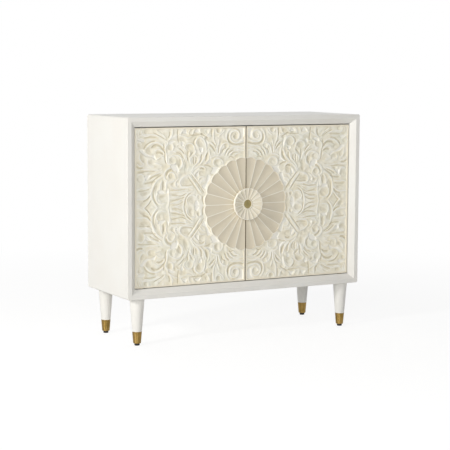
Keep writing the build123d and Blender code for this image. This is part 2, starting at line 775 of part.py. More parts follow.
with BuildPart() as carved_quarter:
    with BuildSketch():
        for root, tip, width in leaves:
            near_side, far_side = leaf_edges(root, tip, width)
            with BuildLine():
                ThreePointArc(*near_side)
                ThreePointArc(*far_side)
            make_face()
    extrude(amount=carved_leaf_rise)
    with BuildSketch(Plane.XY.offset(carved_leaf_rise)):
        for root, tip, width in wide_leaves:
            near_side, far_side = leaf_edges(root, tip, width, inset=carved_rim)
            with BuildLine():
                ThreePointArc(*near_side)
                ThreePointArc(*far_side)
            make_face()
    extrude(amount=-carved_hollow, mode=Mode.SUBTRACT)
    with BuildSketch():
        for line, width in stem_lines:
            SlotArc(line, width * square_width)
        SlotArc(bar_line, bar_width * square_width)
    extrude(amount=carved_stem_rise)
    with BuildSketch():
        for x, v, radius in rounds:
            with Locations(on_square((x, v))):
                Circle(radius * square_width)
    extrude(amount=carved_stem_rise)
    with BuildSketch(Plane.XY.offset(carved_stem_rise)):
        for x, v, radius in rounds:
            with Locations(on_square((x, v))):
                Circle(radius * square_width - carved_rim)
                Circle(radius * square_width * carved_eye_share, mode=Mode.SUBTRACT)
        SlotArc(bar_line, bar_width * square_width - 2 * carved_rim)
    extrude(amount=-carved_hollow, mode=Mode.SUBTRACT)


def carved_field(outward, room):
    """Outline of one door's carving: inside the plain border and outside the rosette."""
    with BuildSketch() as field:
        with Locations((outward * door_middle_x, door_middle_v)):
            Rectangle(door_width - 2 * (door_border + room), door_height - 2 * (door_border + room))
        with BuildSketch(mode=Mode.SUBTRACT):
            with BuildLine():
                radii = (rosette_radius + room, rosette_notch_radius + room)
                for lobe in scallops(petal_count, *radii, petal_count):
                    ThreePointArc(*lobe)
            make_face()
    return field


# --- doors --------------------------------------------------------------------

carved_panel_thickness = carved_panel_base + carving_depth

hinge_edges = ((door_high_z, -1), (door_low_z, 1))  # height of each hinged edge, and the way into the door
strike_screw_pitch = strike_width - 4 * strike_screw_head_radius


def boss_screw_places(outward):
    return [(outward * boss_screw_offset_x, v * boss_screw_offset_z) for v in (-1, 1)]


for side, outward in SIDES.items():
    # the half turn of the rosette that this door carries starts straight up on the left door
    first_angle = 90 if outward < 0 else -90
    sawn_face = Plane.YZ.offset(outward * boss_kerf / 2)
    door_side = Keep.BOTTOM if outward < 0 else Keep.TOP
    pivot = (outward * pivot_x, pivot_y)

    with BuildPart() as door:
        with BuildSketch(front_plane(door_recess)):
            with Locations((outward * door_middle_x, door_middle_v)):
                Rectangle(door_width, door_height)
        extrude(amount=-door_thickness)
        fillet(door.faces().sort_by(Axis.Y)[0].edges(), radius=door_edge_radius)
        # seat of the carved panel, sunk inside the plain border and outside the rosette
        with BuildSketch(front_plane(door_recess)):
            add(carved_field(outward, 0).sketch)
        extrude(amount=-carved_panel_thickness, mode=Mode.SUBTRACT)
        # the rosette stands a little over the border
        with BuildSketch(front_plane(door_recess)):
            with BuildLine():
                for lobe in scallops(petal_count, rosette_radius, rosette_notch_radius, petal_count):
                    ThreePointArc(*lobe)
            make_face()
            with Locations((outward * door_middle_x, door_middle_v)):
                Rectangle(door_width, door_height, mode=Mode.INTERSECT)
        extrude(amount=rosette_rise)
        with Locations(rosette_plane):
            half_start = first_angle + 180 / petal_count
            with PolarLocations(0, petals_per_door, start_angle=half_start, angular_range=180):
                add(petal_cutter.part, mode=Mode.SUBTRACT)
        # mortises and holes of the pivot plates, in the top and bottom edges
        for edge_z, inward in hinge_edges:
            with BuildSketch(Plane.XY.offset(edge_z)):
                with Locations(pivot):
                    Rectangle(pivot_plate_length + 2 * seat_clearance, pivot_plate_width + 2 * seat_clearance)
            extrude(amount=inward * pivot_plate_thickness, mode=Mode.SUBTRACT)
            with BuildSketch(Plane.XY.offset(edge_z)):
                with Locations(pivot):
                    Circle(pivot_pin_radius + seat_clearance)
            extrude(amount=inward * pivot_pin_in_door, mode=Mode.SUBTRACT)
            with BuildSketch(Plane.XY.offset(edge_z)):
                with Locations(pivot):
                    with GridLocations(plate_screw_pitch, 0, 2, 1):
                        Circle(plate_screw_radius + seat_clearance)
            extrude(amount=inward * plate_screw_length, mode=Mode.SUBTRACT)
        # holes of the boss screws and of the strike plate's screws, from the back
        with BuildSketch(front_plane(door_recess + door_thickness)):
            with Locations(*boss_screw_places(outward)):
                Circle(boss_screw_radius + seat_clearance)
        extrude(amount=boss_screw_depth, mode=Mode.SUBTRACT)
        with BuildSketch(front_plane(door_recess + door_thickness)):
            with Locations(*boss_screw_places(outward)):
                Circle(boss_screw_head_radius + seat_clearance)
        extrude(amount=boss_screw_head_height, mode=Mode.SUBTRACT)
        with BuildSketch(front_plane(door_recess + door_thickness)):
            with Locations((outward * catch_offset, strike_middle_v)):
                with GridLocations(strike_screw_pitch, 0, 2, 1):
                    Circle(strike_screw_radius + seat_clearance)
        extrude(amount=strike_screw_length - strike_thickness, mode=Mode.SUBTRACT)
    save(door.part, f"{side}_door_panel")

    upper_quarter = carved_quarter.part
    if outward < 0:
        upper_quarter = mirror(upper_quarter, about=Plane.YZ)
    lower_quarter = mirror(upper_quarter, about=Plane.XZ)
    with BuildPart() as carved_panel:
        with BuildSketch(front_plane(door_recess + carved_panel_thickness)):
            add(carved_field(outward, carved_panel_room).sketch)
        extrude(amount=carved_panel_base)
        with Locations(front_plane(door_recess + carving_depth)):
            add(upper_quarter)
            add(lower_quarter)
        with BuildSketch(front_plane(door_recess + carved_panel_thickness)):
            add(carved_field(outward, carved_panel_room).sketch)
        extrude(amount=carved_panel_thickness, mode=Mode.INTERSECT)
    save(carved_panel.part, f"{side}_carved_panel")

    with BuildPart() as boss_half:
        with Locations(boss_plane):
            add(boss.part)
        split(bisect_by=sawn_face, keep=door_side)
        with BuildSketch(boss_plane):
            with Locations(*boss_screw_places(outward)):
                Circle(boss_screw_radius + seat_clearance)
        extrude(amount=boss_screw_bite, mode=Mode.SUBTRACT)
    save(boss_half.part, f"{side}_boss_half")

    with BuildPart() as cap_half:
        with Locations(boss_plane):
            add(cap.part)
        split(bisect_by=sawn_face, keep=door_side)
    save(cap_half.part, f"{side}_cap_half")

    with BuildPart() as boss_screws:
        with BuildSketch(front_plane(door_recess + door_thickness)):
            with Locations(*boss_screw_places(outward)):
                Circle(boss_screw_radius)
        extrude(amount=boss_screw_depth + boss_screw_bite)
        with BuildSketch(front_plane(door_recess + door_thickness)):
            with Locations(*boss_screw_places(outward)):
                Circle(boss_screw_head_radius)
        extrude(amount=boss_screw_head_height)
    save(boss_screws.part, f"{side}_boss_screws")

    with BuildPart() as pivot_plates:
        for edge_z, inward in hinge_edges:
            with BuildSketch(Plane.XY.offset(edge_z)):
                with Locations(pivot):
                    Rectangle(pivot_plate_length, pivot_plate_width)
                    Circle(pivot_pin_radius + seat_clearance, mode=Mode.SUBTRACT)
                    with GridLocations(plate_screw_pitch, 0, 2, 1):
                        Circle(plate_screw_radius + seat_clearance, mode=Mode.SUBTRACT)
            extrude(amount=inward * pivot_plate_thickness)
            with BuildSketch(Plane.XY.offset(edge_z)):
                with Locations(pivot):
                    with GridLocations(plate_screw_pitch, 0, 2, 1):
                        Circle(plate_screw_head_radius + seat_clearance)
            extrude(amount=inward * plate_screw_head_height, mode=Mode.SUBTRACT)
    save(pivot_plates.part, f"{side}_pivot_plates")

    with BuildPart() as pivot_pins:
        pin_spans = (
            (door_high_z - pivot_pin_in_door, opening_high_z + pivot_pin_in_bush),
            (opening_low_z - pivot_pin_in_bush, door_low_z + pivot_pin_in_door),
        )
        for low_z, high_z in pin_spans:
            with BuildSketch(Plane.XY.offset(low_z)):
                with Locations(pivot):
                    Circle(pivot_pin_radius)
            extrude(amount=high_z - low_z)
    save(pivot_pins.part, f"{side}_pivot_pins")

    with BuildPart() as pivot_screws:
        for edge_z, inward in hinge_edges:
            with BuildSketch(Plane.XY.offset(edge_z)):
                with Locations(pivot):
                    with GridLocations(plate_screw_pitch, 0, 2, 1):
                        Circle(plate_screw_radius)
            extrude(amount=inward * plate_screw_length)
            with BuildSketch(Plane.XY.offset(edge_z)):
                with Locations(pivot):
                    with GridLocations(plate_screw_pitch, 0, 2, 1):
                        Circle(plate_screw_head_radius)
            extrude(amount=inward * plate_screw_head_height)
    save(pivot_screws.part, f"{side}_pivot_screws")

    with BuildPart() as strike_plate:
        with BuildSketch(front_plane(door_recess + door_thickness + strike_thickness)):
            with Locations((outward * catch_offset, strike_middle_v)):
                Rectangle(strike_width, strike_height)
                with GridLocations(strike_screw_pitch, 0, 2, 1):
                    Circle(strike_screw_radius + seat_clearance, mode=Mode.SUBTRACT)
        extrude(amount=strike_thickness)
        with BuildSketch(front_plane(door_recess + door_thickness + strike_thickness)):
            with Locations((outward * catch_offset, strike_middle_v)):
                with GridLocations(strike_screw_pitch, 0, 2, 1):
                    Circle(strike_screw_head_radius + seat_clearance)
        extrude(amount=strike_screw_head_height, mode=Mode.SUBTRACT)
    save(strike_plate.part, f"{side}_strike_plate")

    with BuildPart() as strike_screws:
        with BuildSketch(front_plane(door_recess + door_thickness + strike_thickness)):
            with Locations((outward * catch_offset, strike_middle_v)):
                with GridLocations(strike_screw_pitch, 0, 2, 1):
                    Circle(strike_screw_radius)
        extrude(amount=strike_screw_length)
        with BuildSketch(front_plane(door_recess + door_thickness + strike_thickness)):
            with Locations((outward * catch_offset, strike_middle_v)):
                with GridLocations(strike_screw_pitch, 0, 2, 1):
                    Circle(strike_screw_head_radius)
        extrude(amount=strike_screw_head_height)
    save(strike_screws.part, f"{side}_strike_screws")
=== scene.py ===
import json
import math

import bmesh
import bpy
import numpy as np
from mathutils import Matrix, Vector


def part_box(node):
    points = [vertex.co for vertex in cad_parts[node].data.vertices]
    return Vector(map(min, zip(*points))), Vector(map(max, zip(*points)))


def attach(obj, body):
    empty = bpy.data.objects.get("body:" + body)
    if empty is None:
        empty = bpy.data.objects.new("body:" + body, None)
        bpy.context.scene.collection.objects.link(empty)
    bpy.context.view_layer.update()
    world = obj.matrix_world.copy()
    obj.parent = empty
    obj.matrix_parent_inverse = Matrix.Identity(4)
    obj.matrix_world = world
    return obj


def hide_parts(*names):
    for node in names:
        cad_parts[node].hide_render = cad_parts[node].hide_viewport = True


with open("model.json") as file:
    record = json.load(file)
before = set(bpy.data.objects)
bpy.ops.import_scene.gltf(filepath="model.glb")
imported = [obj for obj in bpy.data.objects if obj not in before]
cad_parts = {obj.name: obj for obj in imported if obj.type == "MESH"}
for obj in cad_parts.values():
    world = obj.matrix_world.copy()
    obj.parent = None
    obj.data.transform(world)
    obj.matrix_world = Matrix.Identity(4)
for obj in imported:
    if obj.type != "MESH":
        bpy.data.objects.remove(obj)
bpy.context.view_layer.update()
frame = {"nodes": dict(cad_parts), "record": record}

# Two-door accent cabinet. The construction comes from the frame. This file adds the carving of
# the two door panels, the cross recesses of the screws, the finish of every surface, and the
# floor, the light and the camera.

MM = 0.001
SIDES = ("left", "right")

# --- sizes repeated from the construction, in millimetres ----------------------

ROSETTE_RADIUS = 163.0
ROSETTE_SCALLOP_DEPTH = 6.0
ROSETTE_RISE = 1.0
PETAL_COUNT = 24
DOOR_BORDER = 5.0
BOSS_RADIUS = 55.0
BOSS_SCALLOP_DEPTH = 1.7
BOSS_PETAL_COUNT = 18
BOSS_RIM_HEIGHT = 12.0

# --- reach of the petals' colour, its painted highlight and its painted shadow, in millimetres ---

RIM_FADE = 2.0  # outwards from the scalloped rim
FRONT_DEPTH = 4.0  # back from the door's face
EDGE_SHADE = 0.25  # of painted shadow of the gap, in from a door's meeting edge

# --- places read from the frame, in metres --------------------------------------

boss_low, boss_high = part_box("left_boss_half")
FLOWER_Z = (boss_low.z + boss_high.z) / 2
door_boxes = {side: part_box(f"{side}_door_panel") for side in SIDES}
FACE_Y = door_boxes["left"][0].y + ROSETTE_RISE * MM
SEAT_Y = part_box("left_carved_panel")[1].y
MEETING_GAP = (door_boxes["right"][0].x - door_boxes["left"][1].x) / MM

# --- colours and nodes ------------------------------------------------------------

# A colour mix node's inputs by number: the share, the colour below and the colour laid over it.
SHARE, UNDER, OVER = 0, 6, 7

# Turns the streak of a turned surface's gloss to run across its turning marks.
QUARTER_TURN = 0.25


def linear(hex_code):
    """An sRGB hex colour as linear red, green, blue and alpha."""
    channels = [int(hex_code[i : i + 2], 16) / 255 for i in (1, 3, 5)]
    return [c / 12.92 if c <= 0.04045 else ((c + 0.055) / 1.055) ** 2.4 for c in channels] + [1.0]


def add_node(tree, kind, inputs=None, **settings):
    """Add one node with its settings. An input given as a socket is linked, one given as a node
    is linked to that node's first live output, and any other value is set."""
    made = tree.nodes.new(kind)
    for name, value in settings.items():
        setattr(made, name, value)
    for name, value in (inputs or {}).items():
        if isinstance(value, bpy.types.Node):
            value = next(socket for socket in value.outputs if socket.enabled)
        if isinstance(value, bpy.types.NodeSocket):
            tree.links.new(value, made.inputs[name])
        else:
            made.inputs[name].default_value = value
    return made


def new_material(name):
    """An empty material, its node tree, and the Object coordinates that its patterns read."""
    material = bpy.data.materials.new(name)
    material.use_nodes = True
    tree = material.node_tree
    tree.nodes.clear()
    return material, tree, add_node(tree, "ShaderNodeTexCoord").outputs["Object"]


def mottle(tree, place, size_mm, detail=3.0, roughness=0.5, stretch=(1, 1, 1)):
    """Random patches about size_mm across, drawn out along an axis by stretch."""
    scaled = add_node(tree, "ShaderNodeMapping", {"Vector": place, "Scale": [1 / s for s in stretch]})
    scale = 1 / (size_mm * MM)
    return add_node(tree, "ShaderNodeTexNoise", {
        "Vector": scaled, "Scale": scale, "Detail": detail, "Roughness": roughness})


def coat(tree, under, colour, value, low, high, most=1.0):
    """Lay a colour over another one where a value runs from low to high, up to a share of most."""
    share = add_node(tree, "ShaderNodeMapRange", {
        "Value": value, "From Min": low, "From Max": high, "To Max": most})
    return add_node(tree, "ShaderNodeMix", {SHARE: share, UNDER: under, OVER: linear(colour)},
                    data_type="RGBA")


def finish_surface(tree, colour, height, depth_mm, strength, gloss):
    """End a material: its colour, the fine relief of its surface, and its gloss."""
    relief = add_node(tree, "ShaderNodeBump", {
        "Height": height, "Distance": depth_mm * MM, "Strength": strength})
    shader = add_node(tree, "ShaderNodeBsdfPrincipled", {
        "Base Color": colour, "Normal": relief, **gloss})
    add_node(tree, "ShaderNodeOutputMaterial", {"Surface": shader})


# --- materials ---------------------------------------------------------------------


def even_finish(name, tones, tone_range, patches, texture, depth_mm, strength, **gloss):
    """A material of one colour: patches of two near tones, and a fine texture in the surface.
    patches and texture are the settings of their mottle."""
    material, tree, place = new_material(name)
    colour = coat(tree, linear(tones[0]), tones[1], mottle(tree, place, **patches), *tone_range)
    finish_surface(tree, colour, mottle(tree, place, **texture), depth_mm, strength, gloss)
    return material


def white_lacquer():
    """Sprayed satin lacquer on MDF and wood: even, slightly warm white, with a soft sheen
    and the faint ripple that spraying leaves."""
    return even_finish("satin_white_lacquer", ("#edebe6", "#efeeea"), (0.35, 0.65),
                       patches={"size_mm": 140, "detail": 2.0}, texture={"size_mm": 2.2, "detail": 2.0},
                       depth_mm=0.02, strength=0.6, Roughness=0.38, IOR=1.5)


def painted_board():
    """Hardboard with one flat coat of white emulsion: matt, with the board's fine nap under it."""
    nap = {"size_mm": 1.4, "detail": 4.0, "roughness": 0.7}
    return even_finish("painted_hardboard", ("#e3e1da", "#eeece6"), (0.3, 0.7), patches=nap, texture=nap,
                       depth_mm=0.08, strength=0.7, Roughness=0.8, IOR=1.45)


def satin_brass(name, tones, roughness, streak=0.0):
    """Lathe-turned brass, lacquered over fine turning marks, which draw a lamp's reflection out
    into a streak along a ferrule. The cap's darker olive tones are painted shade and painted
    reflection of the cream wood in the boss's hollow, where it sits."""
    gloss = {"Metallic": 1.0, "Roughness": roughness, "Anisotropic": streak,
             "Anisotropic Rotation": QUARTER_TURN}
    return even_finish(name, tones, (0.35, 0.65), patches={"size_mm": 25, "detail": 2.0},
                       texture={"size_mm": 0.5, "detail": 2.0, "stretch": (60, 60, 1)},
                       depth_mm=0.02, strength=0.5, **gloss)


def moulded_plastic(name, tones, roughness):
    """Injection-moulded plastic: even colour with a fine spark-eroded texture."""
    erosion = {"size_mm": 0.6, "detail": 2.0}
    return even_finish(name, tones, (0.0, 1.0), patches=erosion, texture=erosion,
                       depth_mm=0.03, strength=0.5, Roughness=roughness, IOR=1.46)


def metal(name, tones, roughness, mark_mm):
    """Plated or sintered metal with fine marks of its making."""
    marks = {"size_mm": mark_mm, "detail": 3.0}
    return even_finish(name, tones, (0.0, 1.0), patches=marks, texture=marks,
                       depth_mm=0.02, strength=0.6, Metallic=1.0, Roughness=roughness)


def petal_places(tree, place, petals, rim_radius, scallop_depth):
    """For each point of a petalled disc, in millimetres: its places across the doors and from
    front to back, and how far it lies from the nearest line between two petals and inside the
    scalloped rim."""
    from_middle = add_node(tree, "ShaderNodeVectorMath", {0: place, 1: (0, 0, FLOWER_Z)},
                           operation="SUBTRACT")
    spot = add_node(tree, "ShaderNodeVectorMath", {0: from_middle, "Scale": 1 / MM}, operation="SCALE")
    across, inward, upward = add_node(tree, "ShaderNodeSeparateXYZ", {"Vector": spot}).outputs
    flat = add_node(tree, "ShaderNodeVectorMath", {0: spot, 1: (1, 0, 1)}, operation="MULTIPLY")
    radius = add_node(tree, "ShaderNodeVectorMath", {0: flat}, operation="LENGTH")
    bearing = add_node(tree, "ShaderNodeMath", {0: across, 1: upward}, operation="ARCTAN2")
    turns = add_node(tree, "ShaderNodeMath", {0: bearing, 1: petals / math.tau}, operation="MULTIPLY")
    line_share = add_node(tree, "ShaderNodeMath", {0: turns, 1: 0.5}, operation="PINGPONG")
    angle = add_node(tree, "ShaderNodeMath", {0: line_share, 1: math.tau / petals}, operation="MULTIPLY")
    to_line = add_node(tree, "ShaderNodeMath", {0: angle, 1: radius}, operation="MULTIPLY")
    rim_share = add_node(tree, "ShaderNodeMath", {0: 0.5, 1: line_share}, operation="SUBTRACT")
    square = add_node(tree, "ShaderNodeMath", {0: rim_share, 1: rim_share}, operation="MULTIPLY")
    rim = add_node(tree, "ShaderNodeMath", {0: square, 1: -4 * scallop_depth, 2: rim_radius},
                   operation="MULTIPLY_ADD")
    inside_rim = add_node(tree, "ShaderNodeMath", {0: rim, 1: radius}, operation="SUBTRACT")
    return across, inward, to_line, inside_rim


def petal_wash_and_painted_light(tree, place, wood, petals, rim_radius, scallop_depth, petals_end, line_width, beige,
               edge_reach=0.0):
    """Lay the petals over the wood's colour, on the front side: worn back to a share of beige,
    with thick white lines of whitewash and painted highlight between them and along the scalloped
    rim. The doors' meeting edges are painted dark brown: painted shadow of the gap between the doors."""
    across, inward, to_line, inside_rim = petal_places(tree, place, petals, rim_radius, scallop_depth)
    petal_tone_and_highlight = add_node(tree, "ShaderNodeMix", {SHARE: beige, UNDER: wood, OVER: linear("#ddd2bc")},
                      data_type="RGBA")
    half_inside = add_node(tree, "ShaderNodeMath", {0: inside_rim, 1: 0.5}, operation="MULTIPLY")
    nearer = add_node(tree, "ShaderNodeMath", {0: to_line, 1: half_inside}, operation="MINIMUM")
    # White lines between the petals: whitewash and painted highlight.
    petal_tone_and_highlight = coat(tree, petal_tone_and_highlight, "#fdf9ee", nearer, low=line_width, high=line_width / 2, most=0.95)
    # A band just outside the scalloped rim: painted highlight.
    petal_tone_and_highlight = coat(tree, petal_tone_and_highlight, "#f6efdd", inside_rim, low=0.0, high=-RIM_FADE)
    in_front = add_node(tree, "ShaderNodeMath", {0: inward, 1: petals_end}, operation="LESS_THAN")
    wood = add_node(tree, "ShaderNodeMix", {SHARE: in_front, UNDER: wood, OVER: petal_tone_and_highlight}, data_type="RGBA")
    # The meeting edges are painted dark brown: painted shadow of the gap between the doors.
    from_edge = add_node(tree, "ShaderNodeMath", {0: across}, operation="ABSOLUTE")
    gap_shadow = add_node(tree, "ShaderNodeMath", {0: from_edge, 1: edge_reach}, operation="LESS_THAN")
    return add_node(tree, "ShaderNodeMix", {SHARE: gap_shadow, UNDER: wood, OVER: linear("#7a6848")},
                    data_type="RGBA")


def washed_wood(name, carved=False, petals=None):
    """Mango wood under a thin, worn-back whitewash: matt cream with fine upright grain. On the
    carving the grounds are white with thick whitewash, the crowns of the ridges are white with
    whitewash and painted highlight, and the grooves and hollows are darker beige with painted
    shade. petals are the settings of the petals' colours and painted light."""
    material, tree, place = new_material(name)
    grain = mottle(tree, place, size_mm=1.6, detail=4.0, roughness=0.65, stretch=(1, 1, 18))
    patches = mottle(tree, place, size_mm=45, roughness=0.6)
    cool = mottle(tree, place, size_mm=80, detail=2.0)
    wood = coat(tree, linear("#f7f0da"), "#fdfaee", patches, low=0.35, high=0.65)
    wood = coat(tree, wood, "#eceee1", cool, low=0.5, high=0.72, most=0.5)
    wood = coat(tree, wood, "#e8dec3", grain, low=0.35, high=0.75, most=0.3)
    if carved:
        # The carving's colour value gives white with whitewash on the grounds and white with whitewash and
        # painted highlight on the ridges' crowns. It gives darker beige with painted shade in the grooves and
        # hollows.
        wash_and_painted_light = add_node(tree, "ShaderNodeAttribute", attribute_name="wash_and_painted_light").outputs["Fac"]
        wood = coat(tree, wood, "#cabea0", wash_and_painted_light, low=0.5, high=0.1, most=0.7)
        wood = coat(tree, wood, "#fffdf6", wash_and_painted_light, low=0.5, high=0.95)
    if petals:
        wood = petal_wash_and_painted_light(tree, place, wood, **petals)
    finish_surface(tree, wood, grain, depth_mm=0.12, strength=0.7, gloss={"Roughness": 0.62, "IOR": 1.48})
    return material


finishes = {
    "white_lacquer": white_lacquer(),
    "back_board": painted_board(),
    "carved_wood": washed_wood("whitewashed_wood"),
    "brass": satin_brass("satin_turned_brass", ("#91773f", "#a4874f"), 0.42, streak=1.0),
    "glide_plastic": moulded_plastic("black_nylon_glide", ("#15130d", "#17150f"), 0.5),
    "catch_plastic": moulded_plastic("white_catch_plastic", ("#d6d4ce", "#e6e4dd"), 0.45),
    "magnet": metal("sintered_magnet", ("#323232", "#3a3a3a"), 0.55, 0.8),
    "nylon": moulded_plastic("natural_nylon", ("#cfccc1", "#dedbd0"), 0.4),
    "zinc_steel": metal("zinc_plated_steel", ("#a3a3a6", "#b9babd"), 0.35, 1.5),
}
# The rosette's petals have white lines of whitewash and painted highlight. Along the meeting edges they carry
# the painted shadow of the doors' gap.
petal_wood = washed_wood("whitewashed_petals_painted_light", petals={
    "petals": PETAL_COUNT, "rim_radius": ROSETTE_RADIUS, "scallop_depth": ROSETTE_SCALLOP_DEPTH,
    "petals_end": FACE_Y / MM + FRONT_DEPTH, "line_width": 1.5, "beige": 0.8,
    "edge_reach": MEETING_GAP / 2 + EDGE_SHADE})
# The boss's petals: white lines of whitewash and painted highlight.
boss_wood = washed_wood("whitewashed_boss_painted_light", petals={
    "petals": BOSS_PETAL_COUNT, "rim_radius": BOSS_RADIUS, "scallop_depth": BOSS_SCALLOP_DEPTH,
    "petals_end": boss_low.y / MM + BOSS_RIM_HEIGHT, "line_width": 1.2, "beige": 0.55})
# The cap's darker olive colour: painted shade and painted reflection of the cream wood around it.
cap_brass_painted_shade = satin_brass("brass_cap_painted_shade", ("#96895e", "#a99b70"), 0.3)
# The carving's finish: whitewash, with painted highlight on the ridges and painted shade in the grooves and
# hollows.
carving_wood = washed_wood("whitewashed_carving_painted_light", carved=True)


def finish_node(node, material):
    """Give a construction node its finish. Its mesh stays as it is."""
    piece = frame["nodes"][node]
    if not piece.material_slots:
        piece.data.materials.append(material)
    for place in piece.material_slots:
        place.material = material


for subpart in frame["record"]["subparts"]:
    finish_node(subpart["node"], finishes[subpart["material_slot"]])
for side in SIDES:
    finish_node(f"{side}_door_panel", petal_wood)
    finish_node(f"{side}_boss_half", boss_wood)
    finish_node(f"{side}_cap_half", cap_brass_painted_shade)

# --- carving: the height and the wash of each point, in one quarter of the flower's frame ---

# Millimetres. Heights are from the door's face, which is 0.
RIDGE_TOP = -0.3
BODY_FLOOR = -2.4
FLANK_RUN = 9.0
GROUND = -4.0
GROUND_EDGE = 2.0
GROOVE_DROP = 1.3
DISH_DROP = 1.2
SWELL = 0.32
GRID_PITCH = 1.42
LINE_STEP = 3.0
WINDOW_MARGIN = 5.0
UNDER_ROSETTE = 3.0  # how far the panel runs in under the notches of the rosette's rim
SHORTEST_RUN = 1e-6

# Faces that lean further from the front than this are the panel's walls and stay flat.
STEEPEST_RELIEF = -0.05

# Chance of each door's hand, one seed for its lower quarter and the next for its upper one.
CARVING_SEEDS = {"left": 11, "right": 23}

# The hand's stray from the drawing, and the swell of the surface: how many waves, how long, and
# for the stray how far. The stray fades towards the middle line, where the quarters meet.
STRAY_COUNT = 4
STRAY_WAVES = (60, 130)
STRAY_REACH = (0.5, 1.1)
STRAY_FADE = 35
SWELL_COUNT = 6
SWELL_WAVES = (16, 38)

# A stroke narrows to TIP_SHARE of its width at its ends, over TAPER_SHARE of its length. The
# crown of a ridge and the cut of a groove reach so many half widths from the stroke's middle
# line, and a ridge's flank starts at FLANK_SHARE of the crown's height.
TIP_SHARE = 0.45
TAPER_SHARE = 0.12
CROWN_REACH = 0.805
CUT_REACH = 1.4
FLANK_SHARE = 0.45

# How steeply each profile falls: 1 slopes over its whole reach, and more leaves a flat middle.
CROWN_SLOPE = 1.3
CUT_SLOPE = 1.25
DISH_SLOPE = 1.6

# The painted shade of a dish ends more sharply, and a little further out, than its hollow.
DISH_SHADE_REACH = 1.05
DISH_SHADE_SLOPE = 2.625

# How light the carving's colour is: 1 is white, 0.5 is beige, 0 is the unwashed wood of a cut.
# The white of the grounds is thick whitewash, and the white of the ridges' crowns is whitewash
# and painted highlight. The dark of the grooves and of the dish hollows is painted shade, and the
# surface is painted lighter where its swell rises and darker where it sinks.
WASH_BODY = 0.53
RIDGE_WASH_AND_HIGHLIGHT = 1.0
GROOVE_PAINTED_SHADE = 0.12
DISH_PAINTED_SHADE = -0.14
SWELL_PAINTED_LIGHT = 0.1
WASH_GROUND = 0.85

